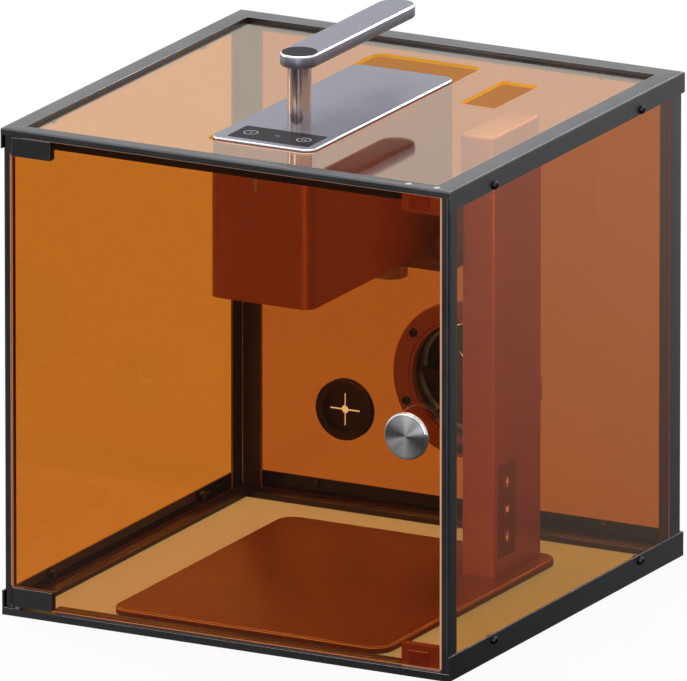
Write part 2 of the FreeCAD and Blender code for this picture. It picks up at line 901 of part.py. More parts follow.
def rotor(hub, blade_reach, count, chord, wall, pitch, height):
    """Hub with pitched blades, widest at their tips, about the +Z axis, its front face at the origin."""
    foot, tip = chord / 2 * hub / 2 / blade_reach, chord / 2
    outline = [(hub / 2, -foot), (blade_reach, -tip), (blade_reach, tip), (hub / 2, foot)]
    parts = [rod(0, 0, 0, hub, height)]
    for i in range(count):
        blade = prism(outline, -wall / 2, wall / 2).rotate(Vector(0, 0, 0), X, -pitch)
        blade = blade.translate(Vector(0, 0, height / 2))
        parts.append(blade.rotate(Vector(0, 0, 0), Z, 360.0 * i / count))
    trim = rod(0, 0, 0, blade_reach - 0.3, height)
    return fuse(parts).common(trim)


def fan_impeller():
    """Impeller of the exhaust fan with its shaft."""
    wheel = rotor(hub_r, blade_r, blade_count, blade_chord, blade_wall, blade_pitch, hub_height)
    gap = fan_ring_depth - fan_cup - hub_height
    shaft = rod(0, 0, hub_height, fan_shaft_r, gap / 2 + fan_shaft - MOVE_GAP)
    whole = fuse([wheel, shaft]).rotate(Vector(0, 0, 0), X, -90)
    return whole.translate(Vector(duct_x, fan_y() + gap / 2, duct_z))


def cable_grommet():
    """Rubber grommet with a thin membrane between two wells, a cross slit and a round eye."""
    y0 = inner_b - grommet_lip
    inner = rod(grommet_x, y0, grommet_z, grommet_r, grommet_lip, Y)
    rim_edge = [e for e in inner.Edges if abs(e.BoundBox.YMax - y0) < 1e-4]
    inner = inner.makeFillet(1.2, rim_edge)
    neck = rod(grommet_x, inner_b, grommet_z, grommet_neck_r, panel_wall, Y)
    outer = rod(grommet_x, back_in, grommet_z, grommet_r, grommet_lip, Y)
    y1 = back_in + grommet_lip
    a, b = slit_length / 2, slit_width / 2
    skin = (inner_b + back_in - membrane) / 2
    wells = [rod(grommet_x, y0, grommet_z, grommet_well_r, skin - y0, Y),
             rod(grommet_x, skin + membrane, grommet_z, grommet_well_r, y1 - skin - membrane, Y)]
    across = block(grommet_x - a, grommet_x + a, y0, y1, grommet_z - b, grommet_z + b)
    upright = block(grommet_x - b, grommet_x + b, y0, y1, grommet_z - a, grommet_z + a)
    eye = rod(grommet_x, y0, grommet_z, eye_r, y1 - y0, Y)
    return cut(fuse([inner, neck, outer]), wells + [across, upright, eye])


# ---------------------------------------------------------------- base plate and column
def base_plate():
    """Work plate on four low pads."""
    x0, x1 = unit_x - plate_width / 2, unit_x + plate_width / 2
    y0, y1 = unit_y - plate_depth / 2, unit_y + plate_depth / 2
    plate = rounded(x0, x1, y0, y1, plate_low, plate_top, plate_round)
    plate = plate.makeChamfer(plate_bevel, rim(plate, plate_top))
    pads = [rod(x, y, floor_top, pad_r, pad_height)
            for x in (x0 + pad_inset, x1 - pad_inset) for y in (y0 + pad_inset, y1 - pad_inset)]
    return fuse([plate] + pads)


def column_shell():
    """Closed column with a slot for the carriage and a window for the keypad."""
    outer = rounded(column_left, column_right, column_front, column_back, plate_top, column_top, column_round)
    outer = outer.makeFillet(column_round * 0.9, rim(outer, column_top))
    inner = block(column_in_left, column_in_right, column_in_front, column_in_back,
                  plate_top, column_top - column_wall)
    slot = block(column_left, column_in_left, column_y - slot_width / 2, column_y + slot_width / 2,
                 slot_bottom, slot_top)
    return cut(outer, [inner, slot, keypad_body()])


def guide_plates():
    """Lower and upper plate that hold the rods and the screw."""
    plates = []
    for z in (guide_plate_low, guide_plate_high):
        plate = block(column_in_left, column_in_left + guide_plate_width, column_in_front,
                      column_in_back, z, z + guide_plate)
        plates.append(cut(plate, guide_rod_set()))
    low = plates[0].cut(rod(column_x, column_y, guide_plate_low, lead_screw_r + 1, guide_plate))
    high = plates[1].cut(rod(column_x, column_y, guide_plate_high, bearing_r, guide_plate))
    return group([low, high])


def guide_rod_set(radius=guide_rod_r):
    """The two guide rods, or their bores."""
    length = guide_plate_high + guide_plate - guide_plate_low
    return [rod(column_x, column_y + side * guide_rod_spread, guide_plate_low, radius, length)
            for side in (-1, 1)]


def lift_motor():
    """Square motor under the lower guide plate; the lead screw is its shaft."""
    half = motor_side / 2
    body = block(column_x - half, column_x + half, column_y - half, column_y + half,
                 guide_plate_low - motor_height, guide_plate_low)
    body = body.makeFillet(2.0, along(body, Z))
    bore = rod(column_x, column_y, lead_screw_low - MOVE_GAP, lead_screw_r + RUN_FIT,
               guide_plate_low - lead_screw_low + MOVE_GAP)
    return body.cut(bore)


def lead_screw():
    """Screw that raises the carriage; its thread is drawn as a plain rod."""
    return rod(column_x, column_y, lead_screw_low, lead_screw_r, lead_screw_high - lead_screw_low)


def screw_bearing():
    """Bearing of the screw's upper end."""
    return tube(column_x, column_y, guide_plate_high, bearing_r, lead_screw_r + RUN_FIT, bearing_height)


# ---------------------------------------------------------------- keypad
def keypad_body():
    """Outside of the keypad module."""
    y, z = keypad_width / 2, keypad_height / 2
    shape = block(keypad_left, column_right, keypad_y - y, keypad_y + y, keypad_z - z, keypad_z + z)
    return shape.makeFillet(keypad_round, along(shape, X))


def key_heights():
    """Heights of the down, stop and up keys."""
    return [keypad_z - key_spread, keypad_z, keypad_z + key_spread]


def button_panel():
    """Keypad module with a well for each key."""
    wells = [rod(column_right - key_well, keypad_y, z, key_r + SCREW_GAP, key_well, X) for z in key_heights()]
    return cut(keypad_body(), wells)


def key(index):
    """One round key with an eased face."""
    x1 = column_right + key_proud
    cap = rod(x1 - key_length, keypad_y, key_heights()[index], key_r, key_length, X)
    face = [e for e in cap.Edges if abs(e.BoundBox.XMin - x1) < 1e-4]
    return cap.makeFillet(0.5, face)


# ---------------------------------------------------------------- carriage and arm
def lift_carriage():
    """Block on the rods with a tongue through the column's slot."""
    x, y = carriage_width / 2, carriage_depth / 2
    body = block(column_x - x, column_x + x, column_y - y, column_y + y,
                 carriage_low, carriage_low + carriage_height)
    tongue = block(column_left - arm_upright_gap, column_x, column_y - tongue_width / 2,
                   column_y + tongue_width / 2, tongue_low, tongue_low + tongue_height)
    nut = rod(column_x, column_y, carriage_low, nut_body_r, carriage_height)
    return cut(fuse([body, tongue]), guide_rod_set(guide_rod_r + RUN_FIT) + [nut])


def lead_nut():
    """Long brass nut in the carriage."""
    return tube(column_x, column_y, carriage_low, nut_body_r, lead_screw_r + RUN_FIT, carriage_height)


def arm_bracket():
    """Plate under the head, upright on the carriage's tongue, and two gussets between them."""
    x1 = column_left - arm_upright_gap
    x0 = x1 - arm_upright
    plate = rounded(arm_left, x1, arm_front, arm_back, arm_low, head_low, arm_round)
    upright = block(x0, x1, arm_upright_front, arm_back - arm_round, arm_low, arm_upright_top)
    corners = [Vector(x0, 0, head_low), Vector(x0 - gusset_reach, 0, head_low)]
    corners.append(Vector(x0, 0, arm_upright_top))
    web = Part.Face(Part.makePolygon(corners + corners[:1])).extrude(Vector(0, gusset_wall, 0))
    near = web.translated(Vector(0, arm_upright_front, 0))
    far = web.translated(Vector(0, arm_back - arm_round - gusset_wall, 0))
    hole = rod(clamp_x, clamp_y, arm_low, clamp_stud_r + SCREW_GAP, arm_thick)
    return fuse([plate, upright, near, far]).cut(hole)


def clamp_knob():
    """Knurled thumb screw that clamps the head to the arm."""
    z0 = arm_low - MOVE_GAP - clamp_height
    grip = rod(clamp_x, clamp_y, z0, clamp_r, clamp_height)
    grip = grip.makeChamfer(0.8, rim(grip, z0))
    notches = []
    for i in range(knurls):
        angle = 2 * math.pi * i / knurls
        notches.append(rod(clamp_x + clamp_r * math.cos(angle), clamp_y + clamp_r * math.sin(angle),
                           z0, knurl_r, clamp_height))
    stud = rod(clamp_x, clamp_y, z0 + clamp_height, clamp_stud_r, MOVE_GAP + clamp_stud)
    return fuse([cut(grip, notches), stud])


# ---------------------------------------------------------------- head
def head_shell():
    """Open-topped box with rounded corners, closed by the top plate."""
    w = head_wall
    outer = rounded(head_left, head_right, head_front, head_back, head_low, head_top, head_round)
    inner = rounded(head_left + w, head_right - w, head_front + w, head_back - w,
                    head_floor, head_top, head_round - w)
    boss = rod(clamp_x, clamp_y, head_floor, clamp_boss_r, clamp_boss)
    shell = fuse([outer.cut(inner), boss])
    lens_hole = rod(unit_x, lens_y, head_low, lens_r, w)
    stud_bore = rod(clamp_x, clamp_y, head_low, clamp_stud_r + RUN_FIT, clamp_stud - arm_thick + MOVE_GAP)
    return cut(shell, [lens_hole, stud_bore, light_bar(0.0)] + vent_slot_set())


def vent_slot_set():
    """Upright slots in the head's back wall, behind the cooling fan."""
    pitch = 2 * vent_slot_width
    first = unit_x - pitch * (vent_slots - 1) / 2
    z0 = vent_fan_z - vent_slot_height / 2
    return [block(first + i * pitch - vent_slot_width / 2, first + i * pitch + vent_slot_width / 2,
                  head_back - head_wall, head_back, z0, z0 + vent_slot_height) for i in range(vent_slots)]


def head_top_plate():
    """Satin plate with a bevelled rim, a pocket for the glass and a hole for the handle's post."""
    plate = rounded(head_left, head_right, head_front, head_back, head_top, plate_z, top_plate_round)
    plate = plate.makeChamfer(top_plate_bevel, rim(plate, plate_z))
    return cut(plate, [control_glass()])


def control_glass():
    """Black touch glass near the plate's front edge."""
    y0 = head_front + glass_front
    return rounded(unit_x - glass_width / 2, unit_x + glass_width / 2, y0, y0 + glass_depth,
                   plate_z + glass_proud - glass_thick, plate_z + glass_proud, glass_round)


def light_bar(proud):
    """Slim light pipe in the head's front wall."""
    return block(light_x - light_width / 2, light_x + light_width / 2, head_front - proud,
                 head_front + light_depth, light_low, light_low + light_height)


def lens_barrel():
    """Barrel of the scan lens, through the head's floor."""
    return tube(unit_x, lens_y, head_low - lens_drop, lens_r, lens_r - lens_wall, lens_height)


def lens_glass():
    """Scan lens in its barrel."""
    return rod(unit_x, lens_y, head_low, lens_r - lens_wall, glass_lens)


def laser_module():
    """Laser source on a foot, with cooling fins on top."""
    x0, x1 = beam_x - module_width / 2, beam_x + module_width / 2
    z0, z1 = beam_z - module_height / 2, beam_z + module_height / 2
    body = block(x0, x1, module_front, module_back, z0, z1)
    half = module_foot / 2
    foot = block(beam_x - half, beam_x + half, module_front, module_back, head_floor, z0)
    pitch = (module_width - fin_wall) / (fin_count - 1)
    fins = [block(x0 + i * pitch, x0 + i * pitch + fin_wall, module_front, module_back, z1, z1 + fin_height)
            for i in range(fin_count)]
    window = rod(beam_x, module_front, beam_z, mirror_wide / 4, module_foot, Y)
    return fuse([body, foot] + fins).cut(window)


def galvo_motors():
    """Two scan motors in their clamps: one upright by the left wall, one level at the front."""
    x_clamp = block(head_left + head_wall, beam_x, lens_y - galvo_clamp / 2, lens_y + galvo_clamp / 2,
                    mirror_top() + MOVE_GAP, mirror_top() + MOVE_GAP + galvo_clamp)
    x_body = rod(beam_x, lens_y, mirror_top() + MOVE_GAP, galvo_r, galvo_length)
    x_bore = rod(beam_x, lens_y, mirror_top() + MOVE_GAP, mirror_shaft_r + RUN_FIT, mirror_bite + MOVE_GAP)
    y_start = lens_y - mirror_long / 2 - MOVE_GAP
    y_clamp = block(unit_x - galvo_clamp / 2, unit_x + galvo_clamp / 2, y_start - galvo_length,
                    y_start - galvo_length + galvo_clamp / 2, head_floor, beam_z)
    y_body = rod(unit_x, y_start, beam_z, galvo_r, galvo_length, -Y)
    y_bore = rod(unit_x, y_start, beam_z, mirror_shaft_r + RUN_FIT, mirror_bite + MOVE_GAP, -Y)
    return group([fuse([x_clamp, x_body]).cut(x_bore), fuse([y_clamp, y_body]).cut(y_bore)])


def mirror_top():
    """Top of the upright mirror."""
    return beam_z + mirror_long / 2


def x_mirror():
    """Mirror on an upright shaft, at 45 degrees between the laser and the other mirror."""
    plate = block(beam_x - mirror_wide / 2, beam_x + mirror_wide / 2, lens_y - mirror_wall / 2,
                  lens_y + mirror_wall / 2, beam_z - mirror_long / 2, mirror_top())
    plate = plate.rotate(Vector(beam_x, lens_y, 0), Z, 45)
    shaft = rod(beam_x, lens_y, beam_z, mirror_shaft_r, mirror_long / 2 + mirror_bite)
    return fuse([plate, shaft])


def y_mirror():
    """Mirror on a level shaft, at 45 degrees above the lens."""
    y0, y1 = lens_y - mirror_long / 2, lens_y + mirror_long / 2
    plate = block(unit_x - mirror_wide / 2, unit_x + mirror_wide / 2, y0, y1,
                  beam_z - mirror_wall / 2, beam_z + mirror_wall / 2)
    plate = plate.rotate(Vector(unit_x, 0, beam_z), Y, 45)
    shaft = rod(unit_x, lens_y, beam_z, mirror_shaft_r, mirror_long / 2 + mirror_bite, -Y)
    return fuse([plate, shaft])


def vent_y():
    """Front of the head's cooling fan."""
    return head_back - head_wall - vent_fan_depth


def head_fan_frame():
    """Square fan frame against the head's back wall."""
    half = vent_fan_side / 2
    frame = block(unit_x - half, unit_x + half, vent_y(), vent_y() + vent_fan_depth,
                  vent_fan_z - half, vent_fan_z + half)
    frame = frame.makeFillet(3.0, along(frame, Y))
    frame = frame.cut(rod(unit_x, vent_y(), vent_fan_z, vent_bore_r, vent_fan_depth, Y))
    spider = block(unit_x - vent_bore_r - 0.5, unit_x + vent_bore_r + 0.5, vent_y() + vent_fan_depth - 2,
                   vent_y() + vent_fan_depth, vent_fan_z - 1.5, vent_fan_z + 1.5)
    cup = rod(unit_x, vent_y() + vent_fan_depth - 2.5, vent_fan_z, vent_hub_r, 2.5, Y)
    bore = rod(unit_x, vent_y() + vent_fan_depth - 2.5, vent_fan_z, vent_shaft_r + RUN_FIT, 2.0, Y)
    return fuse([frame, spider, cup]).cut(bore)


def head_fan_impeller():
    """Impeller of the cooling fan."""
    height = vent_fan_depth - 4.0
    wheel = rotor(vent_hub_r, vent_blade_r, vent_blades, vent_chord, vent_blade_wall, vent_pitch, height)
    shaft = rod(0, 0, height, vent_shaft_r, 2.8)
    whole = fuse([wheel, shaft]).rotate(Vector(0, 0, 0), X, -90)
    return whole.translate(Vector(unit_x, vent_y() + 0.5, vent_fan_z))


def control_board():
    """Circuit board on four standoffs at the head's right wall."""
    x1 = head_right - head_wall - board_standoff
    board = block(x1 - board_wall, x1, board_front, board_back, board_low, board_high)
    inset = 2 * standoff_r
    posts = [rod(x1, y, z, standoff_r, board_standoff, X)
             for y in (board_front + inset, board_back - inset)
             for z in (board_low + inset, board_high - inset)]
    middle_y, middle_z = (board_front + board_back) / 2, (board_low + board_high) / 2
    chips = [block(x1 - board_wall - chip_height, x1 - board_wall, middle_y + dy, middle_y + dy + size,
                   middle_z + dz, middle_z + dz + size)
             for dy, dz, size in ((-40, -30, 18), (-8, -6, 24), (26, -32, 14), (24, 8, 20))]
    return fuse([board] + posts + chips)


# ---------------------------------------------------------------- handle
def handle_post():
    """Polished post with the spigot that the lever turns on."""
    post_part = rod(unit_x, handle_y, plate_z, post_r, post_height)
    pivot = rod(unit_x, handle_y, plate_z + post_height, spigot_r, MOVE_GAP + spigot)
    return fuse([post_part, pivot])


def handle_lever():
    """Flat lever with round ends and bevelled edges."""
    w = lever_half
    tip_y = lever_tip - w
    bar = block(unit_x - w, unit_x + w, handle_y, tip_y, lever_low, lever_top)
    shape = fuse([bar, rod(unit_x, handle_y, lever_low, w, lever_thick),
                  rod(unit_x, tip_y, lever_low, w, lever_thick)])
    shape = shape.makeChamfer(lever_bevel, rim(shape, lever_top) + rim(shape, lever_low))
    bore = rod(unit_x, handle_y, lever_low, spigot_r + RUN_FIT, spigot + MOVE_GAP)
    return cut(shape, [bore, handle_cap()])


def handle_cap():
    """Black disc let into the lever above its pivot."""
    return rod(unit_x, handle_y, lever_top - cap_sunk, cap_r, cap_sunk + cap_proud)


# ---------------------------------------------------------------- output
PARTS = {
    "bottom_front_bar": lambda: front_bars(False),
    "bottom_back_bar": lambda: back_bars(False),
    "bottom_side_bars": lambda: side_bars(False),
    "top_front_bar": lambda: front_bars(True),
    "top_back_bar": lambda: back_bars(True),
    "top_side_bars": lambda: side_bars(True),
    "front_posts": front_posts,
    "back_posts": back_posts,
    "side_panels": side_panels,
    "back_panel": back_panel,
    "top_panel": top_panel,
    "floor_panel": floor_panel,
    "panel_screws": lambda: panel_hardware(side_screw, back_screw),
    "panel_nuts": lambda: panel_hardware(side_nut, back_nut),
    "hinge_pins": hinge_pins,
    "catch_blocks": catch_blocks,
    "catch_magnets": catch_magnets,
    "catch_screws": catch_screws,
    "exhaust_flange": exhaust_flange,
    "duct_collar": duct_collar,
    "exhaust_screws": exhaust_screws,
    "fan_frame": fan_frame,
    "fan_impeller": fan_impeller,
    "cable_grommet": cable_grommet,
    "door_panel": door_panel,
    "hinge_blocks": hinge_blocks,
    "door_screws": door_screws,
    "strike_plates": strike_plates,
    "door_knob": door_knob,
    "base_plate": base_plate,
    "column_shell": column_shell,
    "guide_plates": guide_plates,
    "guide_rods": lambda: group(guide_rod_set()),
    "lift_motor": lift_motor,
    "lead_screw": lead_screw,
    "screw_bearing": screw_bearing,
    "button_panel": button_panel,
    "down_button": lambda: key(0),
    "stop_button": lambda: key(1),
    "up_button": lambda: key(2),
    "lift_carriage": lift_carriage,
    "lead_nut": lead_nut,
    "arm_bracket": arm_bracket,
    "clamp_knob": clamp_knob,
    "head_shell": head_shell,
    "head_top_plate": head_top_plate,
    "control_glass": control_glass,
    "status_light": lambda: light_bar(light_proud),
    "lens_barrel": lens_barrel,
    "lens_glass": lens_glass,
    "laser_module": laser_module,
    "galvo_motors": galvo_motors,
    "x_mirror": x_mirror,
    "y_mirror": y_mirror,
    "head_fan_frame": head_fan_frame,
    "head_fan_impeller": head_fan_impeller,
    "control_board": control_board,
    "handle_post": handle_post,
    "handle_lever": handle_lever,
    "handle_cap": handle_cap,
}

os.makedirs("parts", exist_ok=True)
for node, make in PARTS.items():
    shape = make()
    shape.exportStep(f"parts/{node}.step")
    print(node, len(shape.Solids), round(shape.Volume / 1000, 2), shape.isValid())
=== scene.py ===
import json
import logging
import math
from dataclasses import dataclass
from enum import Enum
from typing import Any, Iterable, Sequence

import bmesh
import bpy
from mathutils import Matrix, Vector

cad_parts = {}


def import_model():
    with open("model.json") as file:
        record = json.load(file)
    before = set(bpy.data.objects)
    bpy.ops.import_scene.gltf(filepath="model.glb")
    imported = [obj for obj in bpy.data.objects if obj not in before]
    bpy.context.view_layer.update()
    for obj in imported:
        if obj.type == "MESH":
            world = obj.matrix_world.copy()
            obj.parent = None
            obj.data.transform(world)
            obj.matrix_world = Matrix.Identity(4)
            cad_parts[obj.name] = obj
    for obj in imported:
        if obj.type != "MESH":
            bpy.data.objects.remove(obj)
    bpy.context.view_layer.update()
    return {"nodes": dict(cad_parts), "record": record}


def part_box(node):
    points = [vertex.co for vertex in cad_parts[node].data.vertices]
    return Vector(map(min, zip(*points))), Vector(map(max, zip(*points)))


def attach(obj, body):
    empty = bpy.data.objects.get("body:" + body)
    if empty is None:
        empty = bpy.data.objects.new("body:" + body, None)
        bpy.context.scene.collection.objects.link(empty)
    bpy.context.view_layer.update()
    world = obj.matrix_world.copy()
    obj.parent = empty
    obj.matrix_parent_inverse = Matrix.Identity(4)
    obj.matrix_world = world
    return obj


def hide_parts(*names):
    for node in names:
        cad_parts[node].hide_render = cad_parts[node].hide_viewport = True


LOG = logging.getLogger("laser_cutter")
MM = 0.001
UP = Vector((0.0, 0.0, 1.0))
BACK = Vector((0.0, 1.0, 0.0))
RIGHT = Vector((1.0, 0.0, 0.0))


# ------------------------------------------------------------------ small tools
def linear(code: str) -> tuple[float, float, float, float]:
    """Turns an sRGB hex colour into linear numbers.

    Args:
        code: Six hex digits, such as "C8A060".

    Returns:
        Linear red, green, blue and an alpha of 1.
    """
    shares = [int(code[i : i + 2], 16) / 255 for i in (0, 2, 4)]
    lin = [c / 12.92 if c <= 0.04045 else ((c + 0.055) / 1.055) ** 2.4 for c in shares]
    return (lin[0], lin[1], lin[2], 1.0)


def per_metre(size_mm: float) -> float:
    """Scale of a texture whose features are size_mm across, on coordinates in metres."""
    return 1.0 / (size_mm * MM)


def add(tree: Any, kind: str, feeds: dict | None = None, **settings: Any) -> Any:
    """Adds a node with its settings and links.

    Args:
        tree: The node tree.
        kind: The node's type name.
        feeds: Input name or number to a value, or to the output socket that feeds it.
        settings: The node's own properties.

    Returns:
        The new node.
    """
    node = tree.nodes.new(kind)
    for key, value in settings.items():
        setattr(node, key, value)
    for key, value in (feeds or {}).items():
        if isinstance(value, bpy.types.NodeSocket):
            tree.links.new(value, node.inputs[key])
        else:
            node.inputs[key].default_value = value
    return node


def new_object(name: str, mesh: bpy.types.Mesh) -> bpy.types.Object:
    """Links a mesh into the scene under a name."""
    made = bpy.data.objects.new(name, mesh)
    bpy.context.scene.collection.objects.link(made)
    return made


def mesh_from(name: str, shape: bmesh.types.BMesh) -> bpy.types.Mesh:
    """Writes a bmesh into a new mesh and frees it."""
    mesh = bpy.data.meshes.new(name)
    shape.to_mesh(mesh)
    shape.free()
    return mesh


def settle(piece: bpy.types.Object) -> None:
    """Turns a piece's modifiers into its plain mesh."""
    bpy.context.view_layer.update()
    graph = bpy.context.evaluated_depsgraph_get()
    mesh = bpy.data.meshes.new_from_object(piece.evaluated_get(graph))
    piece.modifiers.clear()
    piece.data = mesh


# ------------------------------------------------------------------ finishes
@dataclass(frozen=True)
class Finish:
    """A surface finish, built once as a material."""

    name: str

    def shade(self, tree: Any) -> Any:
        """Builds the shader and returns its output socket."""
        raise NotImplementedError

    def material(self) -> bpy.types.Material:
        """Returns the finish as a material, made on the first call."""
        known = bpy.data.materials.get(self.name)
        if known is not None:
            return known
        made = bpy.data.materials.new(self.name)
        made.use_nodes = True
        tree = made.node_tree
        tree.nodes.clear()
        add(tree, "ShaderNodeOutputMaterial", {"Surface": self.shade(tree)})
        return made


def object_place(tree: Any) -> Any:
    """Object coordinates, in metres, as an output socket."""
    return add(tree, "ShaderNodeTexCoord").outputs["Object"]


def grain(tree: Any, size_mm: float, detail: float = 2.0, place: Any = None) -> Any:
    """Noise whose grains are size_mm across.

    Args:
        tree: The node tree.
        size_mm: The grain's real size.
        detail: Octaves of finer grain.
        place: Coordinates; Object coordinates if left out.

    Returns:
        The noise value's socket.
    """
    feeds = {"Vector": place or object_place(tree), "Scale": per_metre(size_mm), "Detail": detail}
    return add(tree, "ShaderNodeTexNoise", feeds).outputs[0]


def between(tree: Any, share: Any, low: float, high: float) -> Any:
    """Turns a 0.3 to 0.7 noise into a value from low to high."""
    feeds = {"Value": share, "From Min": 0.3, "From Max": 0.7, "To Min": low, "To Max": high}
    return add(tree, "ShaderNodeMapRange", feeds).outputs[0]


def blend_colours(tree: Any, share: Any, first: Sequence[float], second: Sequence[float]) -> Any:
    """Mixes two colours by a share and returns the colour's socket."""
    return add(tree, "ShaderNodeMix", {0: share, 6: first, 7: second}, data_type="RGBA").outputs[2]


def relief(tree: Any, height: Any, depth_mm: float, strength: float = 1.0) -> Any:
    """A bump from a height, with its real depth, as a normal socket."""
    feeds = {"Height": height, "Distance": depth_mm * MM, "Strength": strength}
    return add(tree, "ShaderNodeBump", feeds).outputs[0]


def from_axis(tree: Any, centre: Sequence[float], axis: Sequence[float]) -> Any:
    """The way and distance from an axis along X, Y or Z to the shaded point, as a vector socket."""
    feeds = {0: object_place(tree), 1: tuple(centre)}
    off = add(tree, "ShaderNodeVectorMath", feeds, operation="SUBTRACT").outputs[0]
    keep = tuple(1.0 - abs(c) for c in axis)
    return add(tree, "ShaderNodeVectorMath", {0: off, 1: keep}, operation="MULTIPLY").outputs[0]


def turned_lines(tree: Any, flat: Any, pitch_mm: float) -> Any:
    """Concentric tool marks of a lathe, as a value from 0 to 1, on vectors from its axis."""
    radius = add(tree, "ShaderNodeVectorMath", {0: flat}, operation="LENGTH").outputs["Value"]
    feeds = {"W": radius, "Scale": per_metre(pitch_mm), "Detail": 3.0}
    return add(tree, "ShaderNodeTexNoise", feeds, noise_dimensions="1D").outputs[0]


@dataclass(frozen=True)
class AnodisedAluminium(Finish):
    """Blasted and anodised aluminium: an even satin oxide skin with the faintest grain."""

    dark: str = "57585A"
    light: str = "606164"
    roughness: float = 0.34
    grain_mm: float = 1.4
    metal: float = 1.0

    def shade(self, tree: Any) -> Any:
        """Metal under a dyed oxide skin; the real 0.1 mm blasting is drawn coarser so that it shows."""
        fine = grain(tree, self.grain_mm, 3.0)
        broad = grain(tree, 45.0, 2.0)
        shine = between(tree, broad, self.roughness - 0.03, self.roughness + 0.04)
        colour = blend_colours(tree, between(tree, fine, 0.0, 1.0), linear(self.dark), linear(self.light))
        feeds = {"Base Color": colour, "Metallic": self.metal, "Roughness": shine,
                 "Normal": relief(tree, fine, 0.006)}
        return add(tree, "ShaderNodeBsdfPrincipled", feeds).outputs[0]


@dataclass(frozen=True)
class BlastedMetal(Finish):
    """Bead-blasted bright metal under clear anodising: silky, with soft wide highlights."""

    dark: str = "A9A9B6"
    light: str = "C3C3CE"
    roughness: float = 0.27
    grain_mm: float = 1.2

    def shade(self, tree: Any) -> Any:
        """Full metal; blasting is drawn at about one millimetre so that it shows."""
        fine = grain(tree, self.grain_mm, 3.0)
        broad = grain(tree, 60.0, 2.0)
        shine = between(tree, broad, self.roughness - 0.03, self.roughness + 0.05)
        colour = blend_colours(tree, between(tree, fine, 0.0, 1.0), linear(self.dark), linear(self.light))
        feeds = {"Base Color": colour, "Metallic": 1.0, "Roughness": shine, "Normal": relief(tree, fine, 0.008)}
        return add(tree, "ShaderNodeBsdfPrincipled", feeds).outputs[0]


@dataclass(frozen=True)
class TurnedMetal(Finish):
    """Metal turned on a lathe: fine concentric tool marks that catch the light as a bow tie."""

    centre: tuple[float, float, float] = (0.0, 0.0, 0.0)
    axis: tuple[float, float, float] = (0.0, 0.0, 1.0)
    dark: str = "8F9092"
    light: str = "D4D4D6"
    roughness: float = 0.38
    pitch_mm: float = 0.5
    anisotropy: float = 0.95

    def shade(self, tree: Any) -> Any:
        """Marks about the axis; the highlight is stretched across them."""
        across = from_axis(tree, self.centre, self.axis)
        lines = turned_lines(tree, across, self.pitch_mm)
        way = add(tree, "ShaderNodeVectorTransform", {"Vector": across}, vector_type="VECTOR",
                  convert_from="OBJECT", convert_to="WORLD").outputs[0]
        colour = blend_colours(tree, between(tree, lines, 0.0, 1.0), linear(self.dark), linear(self.light))
        feeds = {
            "Base Color": colour, "Metallic": 1.0, "Anisotropic": self.anisotropy, "Tangent": way,
            "Roughness": between(tree, lines, self.roughness - 0.06, self.roughness + 0.08),
            "Normal": relief(tree, lines, 0.006),
        }
        return add(tree, "ShaderNodeBsdfPrincipled", feeds).outputs[0]


class Facing(Enum):
    """The broad direction of a flat sheet."""

    ACROSS = 0
    ALONG = 1
    FLAT = 2


@dataclass(frozen=True)
class AmberAcrylic(Finish):
    """Cast amber acrylic, laser cut: mirror-flat faces, and cut edges with a painted glow that stands in for piped
    light.
    """

    facing: Facing = Facing.ALONG
    one_layer: tuple[float, float, float] = (0.754, 0.406, 0.107)
    lamp_light: tuple[float, float, float] = (0.85, 0.15, 0.05)
    # edge is the cut edges' colour and also the colour of their painted glow; glow is the strength of that painted glow
    edge: str = "8E3A0E"
    glow: float = 0.12

    def shade(self, tree: Any) -> Any:
        """Tinted sheet. Lamp light, which crosses it more than once inside the box, comes out deeper in colour.

        The cut edges are told by the object's own normal, and carry a painted glow.
        """
        tint = (*self.one_layer, 1.0)
        each_face = (*(math.sqrt(c) for c in self.lamp_light), 1.0)
        sheet = add(tree, "ShaderNodeBsdfPrincipled", {
            "Base Color": tint, "Roughness": 0.0, "IOR": 1.49, "Transmission Weight": 1.0,
        }).outputs[0]
        open_to_light = add(tree, "ShaderNodeBsdfTransparent", {"Color": each_face}).outputs[0]
        path = add(tree, "ShaderNodeLightPath")
        feeds = {0: path.outputs["Is Shadow Ray"], 1: path.outputs["Is Diffuse Ray"]}
        lamp = add(tree, "ShaderNodeMath", feeds, operation="MAXIMUM").outputs[0]
        broad = add(tree, "ShaderNodeMixShader", {0: lamp, 1: sheet, 2: open_to_light}).outputs[0]
        marks = grain(tree, 2.0, 2.0)
        # cut edges: a painted glow, emission in their own colour though no lamp lights them
        cut = add(tree, "ShaderNodeBsdfPrincipled", {
            "Base Color": linear(self.edge), "Roughness": between(tree, marks, 0.12, 0.3), "IOR": 1.49,
            "Emission Color": linear(self.edge), "Emission Strength": self.glow,
            "Normal": relief(tree, marks, 0.02),
        }).outputs[0]
        normal = add(tree, "ShaderNodeTexCoord").outputs["Normal"]
        parts = add(tree, "ShaderNodeSeparateXYZ", {0: normal}).outputs
        size = add(tree, "ShaderNodeMath", {0: parts[self.facing.value]}, operation="ABSOLUTE").outputs[0]
        is_edge = add(tree, "ShaderNodeMath", {0: size, 1: 0.7}, operation="LESS_THAN").outputs[0]
        return add(tree, "ShaderNodeMixShader", {0: is_edge, 1: broad, 2: cut}).outputs[0]


